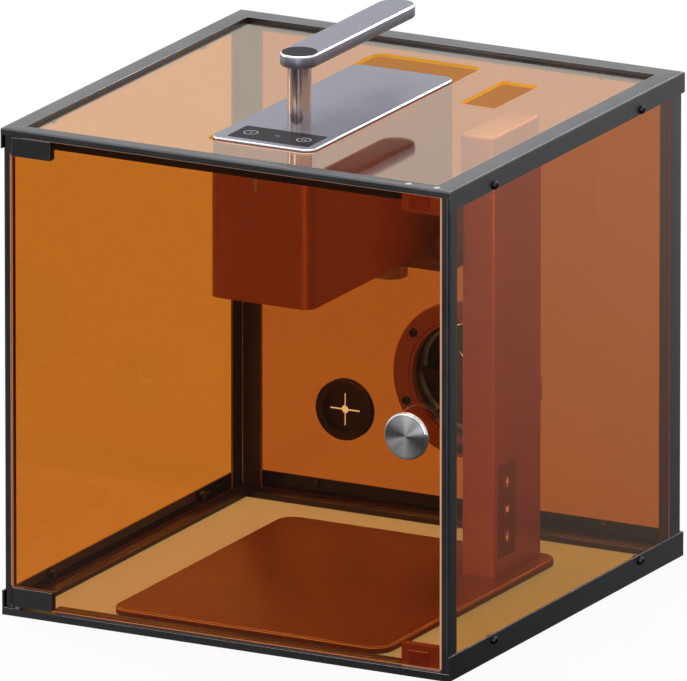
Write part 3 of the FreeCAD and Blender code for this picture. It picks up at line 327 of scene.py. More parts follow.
@dataclass(frozen=True)
class OpalSheet(Finish):
    """Thin opal sheet: milky, so that the pale bench under it shows through."""

    colour: str = "F4F3EF"
    haze: str = "ECF6F1"
    body: float = 0.22

    def shade(self, tree: Any) -> Any:
        """Part white scatter, part see-through, under a satin skin."""
        cloud = grain(tree, 30.0, 2.0)
        milk = add(tree, "ShaderNodeBsdfPrincipled", {
            "Base Color": linear(self.colour), "Roughness": between(tree, cloud, 0.3, 0.4), "IOR": 1.49,
        }).outputs[0]
        clear = add(tree, "ShaderNodeBsdfTransparent", {"Color": linear(self.haze)}).outputs[0]
        return add(tree, "ShaderNodeMixShader", {0: self.body, 1: clear, 2: milk}).outputs[0]


@dataclass(frozen=True)
class MouldedPlastic(Finish):
    """Injection-moulded plastic with a spark-eroded texture."""

    dark: str = "141415"
    light: str = "1C1C1E"
    roughness: float = 0.42
    grain_mm: float = 1.0
    depth_mm: float = 0.03

    def shade(self, tree: Any) -> Any:
        """Fine even texture; the real 0.3 mm pits are drawn at a millimetre so that they show."""
        fine = grain(tree, self.grain_mm, 3.0)
        shine = between(tree, fine, self.roughness - 0.06, self.roughness + 0.08)
        colour = blend_colours(tree, between(tree, fine, 0.0, 1.0), linear(self.dark), linear(self.light))
        feeds = {"Base Color": colour, "Roughness": shine, "Normal": relief(tree, fine, self.depth_mm), "IOR": 1.53}
        return add(tree, "ShaderNodeBsdfPrincipled", feeds).outputs[0]


@dataclass(frozen=True)
class TouchGlass(Finish):
    """Back-printed black cover glass, etched and coated so that it hardly reflects."""

    dark: str = "17191E"
    light: str = "1C1E24"

    def shade(self, tree: Any) -> Any:
        """Deep colour under a faint soft sheen."""
        etch = grain(tree, 1.0, 3.0)
        colour = blend_colours(tree, between(tree, etch, 0.0, 1.0), linear(self.dark), linear(self.light))
        feeds = {"Base Color": colour, "Roughness": between(tree, etch, 0.3, 0.4), "IOR": 1.52,
                 "Specular IOR Level": 0.03, "Normal": relief(tree, etch, 0.004)}
        return add(tree, "ShaderNodeBsdfPrincipled", feeds).outputs[0]


@dataclass(frozen=True)
class Ink(Finish):
    """Screen-printed ink: thin, matt, pale."""

    colour: str = "C9CBD2"
    glow: float = 0.0

    def shade(self, tree: Any) -> Any:
        """Slightly uneven coverage; a lit icon glows a little."""
        cover = grain(tree, 1.5, 2.0)
        base = linear(self.colour)
        thin = (base[0] * 0.85, base[1] * 0.85, base[2] * 0.85, 1.0)
        feeds = {"Base Color": blend_colours(tree, between(tree, cover, 0.0, 1.0), thin, base), "Roughness": 0.5,
                 "Emission Color": base, "Emission Strength": self.glow}
        return add(tree, "ShaderNodeBsdfPrincipled", feeds).outputs[0]


@dataclass(frozen=True)
class LensCoating(Finish):
    """Coated optical glass: clear, with a violet sheen."""

    colour: str = "D9C8E6"

    def shade(self, tree: Any) -> Any:
        """Smooth glass; the coating shows in a tinted coat."""
        feeds = {"Base Color": linear(self.colour), "Roughness": 0.02, "IOR": 1.6, "Transmission Weight": 0.9,
                 "Coat Weight": 0.6, "Coat Roughness": 0.03, "Coat Tint": linear("B48CE0")}
        return add(tree, "ShaderNodeBsdfPrincipled", feeds).outputs[0]


@dataclass(frozen=True)
class BoardLaminate(Finish):
    """Circuit board: green solder resist over copper tracks on a 2.54 mm grid."""

    resist: str = "0F4A26"
    track: str = "1F7A3E"
    grid_mm: float = 2.54

    def shade(self, tree: Any) -> Any:
        """Tracks stand a little proud under the resist."""
        feeds = {"Vector": object_place(tree), "Color1": linear(self.resist), "Color2": linear(self.track),
                 "Mortar": linear(self.resist), "Scale": per_metre(self.grid_mm), "Mortar Size": 0.3}
        tracks = add(tree, "ShaderNodeTexBrick", feeds)
        feeds = {"Base Color": tracks.outputs[0], "Roughness": between(tree, grain(tree, 3.0), 0.2, 0.4),
                 "IOR": 1.5, "Normal": relief(tree, tracks.outputs[1], 0.03)}
        return add(tree, "ShaderNodeBsdfPrincipled", feeds).outputs[0]


FRAME_BLACK = AnodisedAluminium("anodised_aluminium_black")
# grey anodised metal; its warm pink tint is painted amber light from the panels
BODY_GREY_PAINTED_AMBER = AnodisedAluminium("anodised_aluminium_graphite_painted_amber", dark="A68E89", light="B09892", roughness=0.38, metal=0.6)
# same metal as the body, drawn darker: painted shade on the base plate, with the painted amber tint
PLATE_GREY_PAINTED_SHADE = AnodisedAluminium("anodised_aluminium_plate_painted_shade", dark="8C7A75", light="96847F", roughness=0.38, metal=0.6)
# same metal as the body, drawn paler and warmer: painted light on the column, with the painted amber tint
COLUMN_GREY_PAINTED_LIGHT = AnodisedAluminium("anodised_aluminium_column_painted_light", dark="D8B5AE", light="E0BEB6", roughness=0.38, metal=0.6)
INNER_GREY = AnodisedAluminium("anodised_aluminium_inner", dark="787472", light="84807E", roughness=0.4, metal=0.6)
SCREW_BLACK = AnodisedAluminium("blackened_steel", dark="3A3A3C", light="464648", roughness=0.24, grain_mm=1.0)
# bright knurled metal; its pink tint is a painted reflection of the amber surroundings
KNURLED_PAINTED_AMBER = BlastedMetal("knurled_aluminium_painted_amber", dark="F0DCD0", light="F6E6DC", roughness=0.25)
SATIN_SILVER = BlastedMetal("blasted_aluminium_silver", dark="82838F", light="8A8B97", roughness=0.42)
# polished steel; its pink tint is a painted reflection of the amber panels around it
POST_STEEL_PAINTED_AMBER = BlastedMetal("polished_post_painted_amber", dark="D2BEBC", light="D6C2C0", roughness=0.15, grain_mm=20.0)
POLISHED = BlastedMetal("polished_chamfer", dark="E2E2E8", light="F0F0F4", roughness=0.12)
CHAMFER_DARK = BlastedMetal("polished_chamfer_dark", dark="C8C4C2", light="D4D0CE", roughness=0.22)
CHAMFER_WARM = BlastedMetal("polished_chamfer_body", dark="D8CCC6", light="E4D8D2", roughness=0.3)
BRIGHT_STEEL = BlastedMetal("polished_steel", dark="C4C4CA", light="DADADF", roughness=0.14)
MOTOR_BLACK = MouldedPlastic("enamelled_motor_black", dark="101012", light="19191C", roughness=0.35)
DUCT_GREY = MouldedPlastic("abs_grey", dark="8A8685", light="949090", roughness=0.32)
FAN_BLACK = MouldedPlastic("pbt_black", dark="151516", light="1E1E20", roughness=0.45)
GROMMET_RUBBER = MouldedPlastic("rubber_black", dark="100C0B", light="181211", roughness=0.55, grain_mm=1.6)
KEYPAD_GREY = MouldedPlastic("abs_keypad", dark="857672", light="8F807C", roughness=0.36)
KEY_GREY = MouldedPlastic("abs_keys", dark="9A8A84", light="A4948E", roughness=0.3)
MAGNET_NICKEL = BlastedMetal("nickel_plate", dark="A8A49C", light="BDB9B0", roughness=0.2)
BRASS = BlastedMetal("turned_brass", dark="A87E36", light="C79A4A", roughness=0.22)
MIRROR = BlastedMetal("silvered_mirror", dark="E0DCCC", light="EAE6D8", roughness=0.03)
LIGHT_PIPE = Ink("light_pipe", colour="6E9088", glow=0.25)
ICON_PALE = Ink("icon_ink_pale", colour="AEB2BC", glow=0.15)
ICON_BLUE = Ink("icon_ink_blue", colour="5A78C8", glow=0.35)
# the key marks' glow is painted light; the keys carry no lamp
KEY_INK_PAINTED_GLOW = Ink("key_ink_painted_glow", colour="F6EEEA", glow=0.35)
FLOOR_OPAL = OpalSheet("opal_sheet")
AMBER_SIDE = AmberAcrylic("cast_acrylic_amber_side", facing=Facing.ACROSS)
AMBER_BACK = AmberAcrylic("cast_acrylic_amber_back", one_layer=(0.509, 0.211, 0.064))
# the top and door cut edges carry a stronger painted glow
AMBER_TOP = AmberAcrylic("cast_acrylic_amber_top", facing=Facing.FLAT, one_layer=(0.88, 0.56, 0.16),
                         edge="E6AE3C", glow=0.3)
AMBER_DOOR = AmberAcrylic("cast_acrylic_amber_door", one_layer=(0.82, 0.436, 0.14), edge="DCA888", glow=0.4)
CONTROL_GLASS = TouchGlass("cover_glass_black")
LENS_GLASS = LensCoating("coated_lens")
BOARD = BoardLaminate("board_laminate")


# ------------------------------------------------------------------ dressing CAD nodes
@dataclass
class Dresser:
    """Gives CAD nodes their finish, and eased copies where an edge should catch the light."""

    nodes: dict
    slots: dict
    bodies: dict
    weld: float = 0.002 * MM
    flat_angle: float = math.radians(0.5)
    bevel_angle: float = math.radians(40)
    sharp_angle: float = math.radians(25)
    slope: tuple[float, float] = (0.3, 0.95)

    def dress(self, finish: Finish, *names: str) -> None:
        """Puts one finish on CAD nodes whose shape stays."""
        for name in names:
            mesh = self.nodes[name].data
            mesh.materials.clear()
            mesh.materials.append(finish.material())
            LOG.info("%s: %s", name, finish.name)

    def ease(self, finish: Finish, width_mm: float, *names: str, rim: Finish | None = None,
             sloped: bool = False) -> None:
        """Shows merged copies of CAD nodes whose sharp edges are broken by a narrow chamfer.

        Args:
            finish: The finish of the copies.
            width_mm: How far the chamfer reaches from the edge.
            names: The CAD nodes.
            rim: The finish of the chamfers, if they were cut bright after the rest was coated.
            sloped: Whether the node's own upper chamfer is the bright part, and the new one is plain.
        """
        for name in names:
            shape = bmesh.new()
            shape.from_mesh(self.nodes[name].data)
            bmesh.ops.remove_doubles(shape, verts=shape.verts, dist=self.weld)
            bmesh.ops.dissolve_limit(shape, angle_limit=self.flat_angle, verts=shape.verts, edges=shape.edges)
            for face in shape.faces:
                face.smooth = True
                face.material_index = int(sloped and self.slope[0] < face.normal.z < self.slope[1])
            copy = new_object(f"{name}_eased", mesh_from(f"{name}_eased", shape))
            for coat in (finish, rim or finish):
                copy.data.materials.append(coat.material())
            bevel = copy.modifiers.new("eased_edges", "BEVEL")
            bevel.width = width_mm * MM
            bevel.segments = 1
            bevel.limit_method = "ANGLE"
            bevel.angle_limit = self.bevel_angle
            bevel.material = int(not sloped)
            settle(copy)
            copy.data.set_sharp_from_angle(angle=self.sharp_angle)
            self.fit(copy, name)

    def fit(self, piece: bpy.types.Object, *names: str) -> None:
        """Lets a piece stand for CAD nodes of one body."""
        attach(piece, self.bodies[names[0]])
        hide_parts(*names)
        LOG.info("%s stands for %s", piece.name, ", ".join(names))

    def add_on(self, piece: bpy.types.Object, finish: Finish, body: str) -> None:
        """Adds a piece of the scene's own to a body."""
        piece.data.materials.clear()
        piece.data.materials.append(finish.material())
        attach(piece, body)
        LOG.info("%s on %s", piece.name, body)


# ------------------------------------------------------------------ geometry nodes
class Kind(Enum):
    """Socket types of a geometry tree's inputs."""

    GEOMETRY = "NodeSocketGeometry"
    OBJECT = "NodeSocketObject"
    LENGTH = "NodeSocketFloat"
    COUNT = "NodeSocketInt"
    FINISH = "NodeSocketMaterial"


@dataclass
class GeometryTree:
    """A geometry node tree with named inputs that ends in real, finished mesh."""

    name: str
    inputs: dict[str, Kind]

    def open(self) -> tuple[Any, Any]:
        """Makes the tree and returns it with its input node."""
        tree = bpy.data.node_groups.new(self.name, "GeometryNodeTree")
        for label, kind in self.inputs.items():
            tree.interface.new_socket(label, in_out="INPUT", socket_type=kind.value)
        tree.interface.new_socket("Geometry", in_out="OUTPUT", socket_type=Kind.GEOMETRY.value)
        return tree, add(tree, "NodeGroupInput")

    def close(self, tree: Any, shape: Any, finish: Any) -> None:
        """Ends the tree in Realize Instances and Set Material."""
        real = add(tree, "GeometryNodeRealizeInstances", {0: shape}).outputs[0]
        done = add(tree, "GeometryNodeSetMaterial", {"Geometry": real, "Material": finish}).outputs[0]
        add(tree, "NodeGroupOutput", {0: done})

    def run(self, tree: Any, piece: bpy.types.Object, values: dict[str, Any]) -> None:
        """Runs the tree on a piece and keeps the result as its plain mesh.

        Args:
            tree: The finished tree.
            piece: The object that carries the starting geometry.
            values: Value of each named input.
        """
        modifier = piece.modifiers.new(self.name, "NODES")
        modifier.node_group = tree
        for item in tree.interface.items_tree:
            if item.in_out == "INPUT" and item.name in values:
                modifier[item.identifier] = values[item.name]
        settle(piece)


@dataclass
class SocketScrews:
    """Socket screws with domed heads, one at each place of a pattern."""

    name: str
    head_radius: float
    head_height: float
    shank_radius: float
    shank_length: float
    places: list[tuple[Vector, Vector]]
    profile: tuple[tuple[float, float], ...] = ((1.0, 0.0), (1.0, 0.45), (0.93, 0.72), (0.78, 0.92), (0.6, 1.0))
    sides: int = 36
    hexagon: float = 0.46
    socket_floor: float = 0.42
    sharp_angle: float = math.radians(35)

    def unit_head(self) -> bpy.types.Object:
        """A head of radius 1 and height 1 with a hexagon socket, seated on z = 0."""
        shape = bmesh.new()
        count = self.sides
        rings = [[shape.verts.new((r * math.cos(a), r * math.sin(a), z)) for a in self.angles(count)]
                 for r, z in self.profile]
        corners = [(self.hexagon * math.cos(a), self.hexagon * math.sin(a)) for a in self.angles(6)]
        hexagon = []
        for i in range(count):
            side, share = divmod(i, count // 6)
            t = share / (count // 6)
            (x0, y0), (x1, y1) = corners[side], corners[(side + 1) % 6]
            hexagon.append((x0 + (x1 - x0) * t, y0 + (y1 - y0) * t))
        rings.append([shape.verts.new((x, y, 1.0)) for x, y in hexagon])
        rings.append([shape.verts.new((x, y, self.socket_floor)) for x, y in hexagon])
        for low, high in zip(rings, rings[1:]):
            for i in range(count):
                j = (i + 1) % count
                shape.faces.new((low[i], low[j], high[j], high[i]))
        shape.faces.new(rings[-1])
        shape.faces.new(list(reversed(rings[0])))
        for face in shape.faces:
            face.smooth = True
        mesh = mesh_from(f"{self.name}_head", shape)
        mesh.set_sharp_from_angle(angle=self.sharp_angle)
        return new_object(f"{self.name}_head", mesh)

    @staticmethod
    def angles(count: int) -> list[float]:
        """Evenly spaced angles round a circle."""
        return [2 * math.pi * i / count for i in range(count)]

    def tree(self) -> tuple[GeometryTree, Any]:
        """Builds the tree that puts a whole screw at each point, along the point's facing."""
        plan = GeometryTree(f"{self.name}_tree", {
            "Geometry": Kind.GEOMETRY, "Head": Kind.OBJECT, "Head Radius": Kind.LENGTH, "Head Height": Kind.LENGTH,
            "Shank Radius": Kind.LENGTH, "Shank Length": Kind.LENGTH, "Finish": Kind.FINISH,
        })
        tree, given = plan.open()
        source = add(tree, "GeometryNodeObjectInfo", {"Object": given.outputs["Head"]}).outputs["Geometry"]
        size = add(tree, "ShaderNodeCombineXYZ", {
            0: given.outputs["Head Radius"], 1: given.outputs["Head Radius"], 2: given.outputs["Head Height"],
        }).outputs[0]
        head = add(tree, "GeometryNodeTransform", {"Geometry": source, "Scale": size}).outputs[0]
        shank = add(tree, "GeometryNodeMeshCylinder", {
            "Vertices": 24, "Radius": given.outputs["Shank Radius"], "Depth": given.outputs["Shank Length"],
        }).outputs[0]
        half = add(tree, "ShaderNodeMath", {0: given.outputs["Shank Length"], 1: -0.5}, operation="MULTIPLY").outputs[0]
        down = add(tree, "ShaderNodeCombineXYZ", {2: half}).outputs[0]
        low = add(tree, "GeometryNodeTransform", {"Geometry": shank, "Translation": down}).outputs[0]
        whole = add(tree, "GeometryNodeJoinGeometry").inputs[0]
        tree.links.new(head, whole)
        tree.links.new(low, whole)
        facing = add(tree, "GeometryNodeInputNamedAttribute", {"Name": "facing"}, data_type="FLOAT_VECTOR")
        turn = add(tree, "FunctionNodeAlignRotationToVector", {"Vector": facing.outputs[0]}, axis="Z").outputs[0]
        screws = add(tree, "GeometryNodeInstanceOnPoints", {
            "Points": given.outputs["Geometry"], "Instance": whole.node.outputs[0], "Rotation": turn,
        }).outputs[0]
        plan.close(tree, screws, given.outputs["Finish"])
        return plan, tree

    def build(self, finish: Finish) -> bpy.types.Object:
        """Makes all the screws as one mesh."""
        mesh = bpy.data.meshes.new(self.name)
        mesh.from_pydata([tuple(place) for place, _ in self.places], [], [])
        facing = mesh.attributes.new("facing", "FLOAT_VECTOR", "POINT")
        for i, (_, way) in enumerate(self.places):
            facing.data[i].vector = way
        piece = new_object(self.name, mesh)
        head = self.unit_head()
        plan, tree = self.tree()
        plan.run(tree, piece, {
            "Head": head, "Head Radius": self.head_radius, "Head Height": self.head_height,
            "Shank Radius": self.shank_radius, "Shank Length": self.shank_length, "Finish": finish.material(),
        })
        bpy.data.objects.remove(head)
        return piece


@dataclass
class FanWheel:
    """Hub with twisted blades; along the shaft each blade covers the start of the next."""

    name: str
    node: str
    hub: float
    depth: float
    shaft: float
    count: int = 7
    wall: float = 1.4 * MM
    cover: float = 1.22
    root: float = 0.94
    steps: int = 10
    sides: int = 64
    sharp_angle: float = math.radians(35)

    def build(self, finish: Finish) -> bpy.types.Object:
        """Builds the wheel from its node's front face back, with the shaft behind it along Y."""
        low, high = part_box(self.node)
        middle, reach = (low + high) / 2, (high.x - low.x) / 2
        middle.y = low.y + self.depth / 2
        travel = self.depth - 2 * self.wall
        shape = bmesh.new()
        for blade in range(self.count):
            rows = []
            for step in range(self.steps + 1):
                along = step / self.steps - 0.5
                angle = math.tau * (blade + self.cover * along) / self.count
                side = Vector((math.cos(angle), 0.0, math.sin(angle)))
                radii = (self.root * self.hub, (self.hub + reach) / 2, reach)
                rows.append([shape.verts.new(middle + side * r + BACK * (along * travel)) for r in radii])
            for first, second in zip(rows, rows[1:]):
                for place in range(2):
                    shape.faces.new((first[place], first[place + 1], second[place + 1], second[place]))
        piece = new_object(self.name, mesh_from(self.name, shape))
        thick = piece.modifiers.new("blade_wall", "SOLIDIFY")
        thick.thickness, thick.offset = self.wall, 0.0
        settle(piece)
        shape = bmesh.new()
        shape.from_mesh(piece.data)
        hub_end = low.y + self.depth
        for radius, start, stop in ((self.hub, low.y, hub_end), (self.shaft, hub_end, high.y)):
            spot = Vector((middle.x, (start + stop) / 2, middle.z))
            turn = Matrix.Translation(spot) @ Matrix.Rotation(math.pi / 2, 4, "X")
            bmesh.ops.create_cone(shape, cap_ends=True, segments=self.sides, radius1=radius, radius2=radius,
                                  depth=stop - start, matrix=turn)
        shape.to_mesh(piece.data)
        shape.free()
        piece.data.materials.append(finish.material())
        piece.data.shade_smooth()
        piece.data.set_sharp_from_angle(angle=self.sharp_angle)
        return piece


@dataclass
class ThreadedRod:
    """A screw with a round-backed thread wound along its core."""

    name: str
    foot: Vector
    radius: float
    length: float
    lead: float
    depth: float

    def build(self, finish: Finish) -> bpy.types.Object:
        """Winds the thread with geometry nodes."""
        plan = GeometryTree(f"{self.name}_tree", {
            "Core Radius": Kind.LENGTH, "Thread Radius": Kind.LENGTH, "Length": Kind.LENGTH, "Turns": Kind.LENGTH,
            "Finish": Kind.FINISH,
        })
        tree, given = plan.open()
        spiral = add(tree, "GeometryNodeCurveSpiral", {
            "Resolution": 20, "Rotations": given.outputs["Turns"], "Start Radius": given.outputs["Core Radius"],
            "End Radius": given.outputs["Core Radius"], "Height": given.outputs["Length"],
        }).outputs[0]
        section = add(tree, "GeometryNodeCurvePrimitiveCircle", {
            "Resolution": 6, "Radius": given.outputs["Thread Radius"],
        }).outputs[0]
        thread = add(tree, "GeometryNodeCurveToMesh", {
            "Curve": spiral, "Profile Curve": section, "Fill Caps": True,
        }).outputs[0]
        core = add(tree, "GeometryNodeMeshCylinder", {
            "Vertices": 32, "Radius": given.outputs["Core Radius"], "Depth": given.outputs["Length"],
        }).outputs[0]
        half = add(tree, "ShaderNodeMath", {0: given.outputs["Length"], 1: 0.5}, operation="MULTIPLY").outputs[0]
        lift = add(tree, "ShaderNodeCombineXYZ", {2: half}).outputs[0]
        raised = add(tree, "GeometryNodeTransform", {"Geometry": core, "Translation": lift}).outputs[0]
        whole = add(tree, "GeometryNodeJoinGeometry").inputs[0]
        tree.links.new(thread, whole)
        tree.links.new(raised, whole)
        placed = add(tree, "GeometryNodeTransform", {
            "Geometry": whole.node.outputs[0], "Translation": tuple(self.foot),
        }).outputs[0]
        plan.close(tree, placed, given.outputs["Finish"])
        piece = new_object(self.name, bpy.data.meshes.new(self.name))
        plan.run(tree, piece, {
            "Core Radius": self.radius - self.depth, "Thread Radius": self.depth, "Length": self.length,
            "Turns": self.length / self.lead, "Finish": finish.material(),
        })
        return piece


# ------------------------------------------------------------------ flat marks
def slab(name: str, outlines: Iterable[Sequence[tuple[float, float]]], origin: Vector, across: Vector,
         up: Vector, thickness: float) -> bpy.types.Object:
    """A thin raised mark made of closed outlines.

    Args:
        name: The piece's name.
        outlines: Closed outlines, anticlockwise, in metres on the mark's own plane.
        origin: Where the outlines' own origin lies.
        across: Direction of the first coordinate.
        up: Direction of the second coordinate.
        thickness: How far the mark stands out, along across x up.

    Returns:
        The mark.
    """
    shape = bmesh.new()
    out = across.cross(up) * thickness
    for outline in outlines:
        low = [shape.verts.new(origin + across * x + up * y) for x, y in outline]
        high = [shape.verts.new(vert.co + out) for vert in low]
        shape.faces.new(high)
        shape.faces.new(list(reversed(low)))
        for i in range(len(low)):
            j = (i + 1) % len(low)
            shape.faces.new((low[i], low[j], high[j], high[i]))
    bmesh.ops.recalc_face_normals(shape, faces=shape.faces)
    return new_object(name, mesh_from(name, shape))


def arc_band(radius: float, width: float, start: float, stop: float, steps: int = 48) -> list[tuple[float, float]]:
    """Outline of a band that follows a circle from start to stop, in degrees."""
    angles = [math.radians(start + (stop - start) * i / steps) for i in range(steps + 1)]
    outer = [((radius + width / 2) * math.cos(a), (radius + width / 2) * math.sin(a)) for a in angles]
    inner = [((radius - width / 2) * math.cos(a), (radius - width / 2) * math.sin(a)) for a in reversed(angles)]
    return outer + inner


def bar(x0: float, y0: float, x1: float, y1: float, width: float) -> list[tuple[float, float]]:
    """Outline of a straight stroke between two points."""
    run = Vector((x1 - x0, y1 - y0)).normalized() * width / 2
    side = Vector((-run.y, run.x))
    return [(x0 - side.x, y0 - side.y), (x1 - side.x, y1 - side.y), (x1 + side.x, y1 + side.y),
            (x0 + side.x, y0 + side.y)]


# ------------------------------------------------------------------ sub-assemblies
@dataclass
class Enclosure:
    """Black frame, amber panels, opal floor and their fasteners."""

    edge: float = 0.45
    screw_head: float = 3.5 * MM
    screw_height: float = 2.8 * MM
    screw_shank: float = 2.0 * MM
    screw_length: float = 7.7 * MM
    side_y: float = 125.0 * MM
    back_x: float = 129.0 * MM
    heights: tuple[float, float] = (15.0 * MM, 387.0 * MM)

    def places(self) -> list[tuple[Vector, Vector]]:
        """Seat and direction of each panel screw."""
        low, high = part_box("top_side_bars")
        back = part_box("top_back_bar")[1].y
        found = []
        for z in self.heights:
            for share in (-1, 1):
                found.append((Vector((low.x, share * self.side_y, z)), -RIGHT))
                found.append((Vector((high.x, share * self.side_y, z)), RIGHT))
                found.append((Vector((share * self.back_x, back, z)), BACK))
        return found

    def build(self, dresser: Dresser) -> None:
        """Dresses the enclosure."""
        dresser.ease(FRAME_BLACK, self.edge, "bottom_front_bar", "bottom_back_bar", "bottom_side_bars",
                     "top_front_bar", "top_back_bar", "top_side_bars", "front_posts", "back_posts",
                     rim=CHAMFER_DARK)
        dresser.ease(BODY_GREY_PAINTED_AMBER, self.edge, "catch_blocks", rim=CHAMFER_WARM)
        dresser.dress(AMBER_SIDE, "side_panels")
        dresser.dress(AMBER_BACK, "back_panel")
        dresser.dress(AMBER_TOP, "top_panel")
        dresser.dress(FLOOR_OPAL, "floor_panel")
        dresser.dress(SCREW_BLACK, "panel_nuts")
        dresser.dress(BRIGHT_STEEL, "hinge_pins", "catch_screws")
        dresser.dress(MAGNET_NICKEL, "catch_magnets")
        screws = SocketScrews("panel_socket_screws", self.screw_head, self.screw_height, self.screw_shank,
                              self.screw_length, self.places()).build(SCREW_BLACK)
        dresser.fit(screws, "panel_screws")


@dataclass
class Door:
    """Frameless amber door with its clamp hinges, strike plates and knob."""

    edge: float = 0.35
    polish: float = 0.9
    knob_edge: float = 0.5

    def build(self, dresser: Dresser) -> None:
        """Dresses the door."""
        dresser.ease(AMBER_DOOR, self.polish, "door_panel")
        dresser.ease(FRAME_BLACK, self.edge, "hinge_blocks", rim=CHAMFER_DARK)
        dresser.dress(SCREW_BLACK, "door_screws")
        dresser.ease(BODY_GREY_PAINTED_AMBER, self.edge, "strike_plates", rim=CHAMFER_WARM)
        low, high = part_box("door_knob")
        middle = (low + high) / 2
        face = TurnedMetal("turned_steel_knob", centre=tuple(middle), axis=tuple(BACK))
        dresser.ease(face, self.knob_edge, "door_knob", rim=POLISHED)


@dataclass
class Exhaust:
    """Exhaust ring, collar, fan and cable grommet in the back wall."""

    screw_circle: float = 57.5 * MM
    first_angle: float = 23.7
    count: int = 6
    screw_head: float = 3.5 * MM
    screw_height: float = 2.8 * MM
    screw_shank: float = 2.0 * MM
    screw_length: float = 10.0 * MM
    fan_hub: float = 15.5 * MM
    fan_depth: float = 13.0 * MM
    fan_shaft: float = 1.8 * MM

    def build(self, dresser: Dresser) -> None:
        """Dresses the exhaust and the grommet."""
        dresser.dress(DUCT_GREY, "exhaust_flange", "duct_collar")
        dresser.dress(FAN_BLACK, "fan_frame")
        wheel = FanWheel("fan_wheel", "fan_impeller", self.fan_hub, self.fan_depth, self.fan_shaft)
        dresser.fit(wheel.build(FAN_BLACK), "fan_impeller")
        dresser.dress(GROMMET_RUBBER, "cable_grommet")
        low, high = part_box("exhaust_flange")
        middle = (low + high) / 2
        places = []
        for i in range(self.count):
            angle = math.radians(self.first_angle + 360 * i / self.count)
            off = Vector((math.cos(angle), 0.0, math.sin(angle))) * self.screw_circle
            places.append((Vector((middle.x, low.y, middle.z)) + off, -BACK))
        screws = SocketScrews("exhaust_socket_screws", self.screw_head, self.screw_height, self.screw_shank,
                              self.screw_length, places).build(SCREW_BLACK)
        dresser.fit(screws, "exhaust_screws")


@dataclass
class Column:
    """Base plate, column with its lift, and keypad."""

    edge: float = 0.4
    lead: float = 8.0 * MM
    thread: float = 0.55 * MM
    ink: float = 0.15 * MM
    stroke: float = 0.9 * MM
    mark_half: float = 2.6 * MM
    mark_tall: float = 3.4 * MM

    def marks(self) -> dict[str, list[list[tuple[float, float]]]]:
        """Outlines of the mark on each key, in metres about the key's middle."""
        half, tall = self.mark_half, self.mark_tall
        arrow = [(-half, -0.2 * tall), (half, -0.2 * tall), (0.0, 1.15 * tall)]
        stem = bar(0.0, -1.2 * tall, 0.0, -0.1 * tall, self.stroke)
        turned = [[(-x, -y) for x, y in outline] for outline in (arrow, stem)]
        square = bar(-0.8 * half, 0.0, 0.8 * half, 0.0, 1.6 * half)
        return {"up": [arrow, stem], "stop": [square], "down": turned}

    def build(self, dresser: Dresser) -> None:
        """Dresses the column, and prints the keys."""
        dresser.ease(PLATE_GREY_PAINTED_SHADE, self.edge, "base_plate", rim=CHAMFER_WARM)
        dresser.ease(COLUMN_GREY_PAINTED_LIGHT, self.edge, "column_shell", rim=CHAMFER_WARM)
        dresser.dress(INNER_GREY, "guide_plates", "lift_carriage")
        dresser.dress(BRIGHT_STEEL, "guide_rods")
        dresser.dress(MOTOR_BLACK, "lift_motor")
        dresser.dress(BRIGHT_STEEL, "screw_bearing")
        dresser.dress(BRASS, "lead_nut")
        dresser.dress(KEYPAD_GREY, "button_panel")
        dresser.dress(KEY_GREY, "up_button", "stop_button", "down_button")
        low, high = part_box("lead_screw")
        middle = (low + high) / 2
        rod = ThreadedRod("lead_screw_thread", Vector((middle.x, middle.y, low.z)), (high.x - low.x) / 2,
                          high.z - low.z, self.lead, self.thread).build(BRIGHT_STEEL)
        dresser.fit(rod, "lead_screw")
        for key, outlines in self.marks().items():
            low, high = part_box(f"{key}_button")
            spot = Vector((high.x, (low.y + high.y) / 2, (low.z + high.z) / 2))
            mark = slab(f"{key}_mark", outlines, spot, BACK, UP, self.ink)
            dresser.add_on(mark, KEY_INK_PAINTED_GLOW, f"key_{key}")


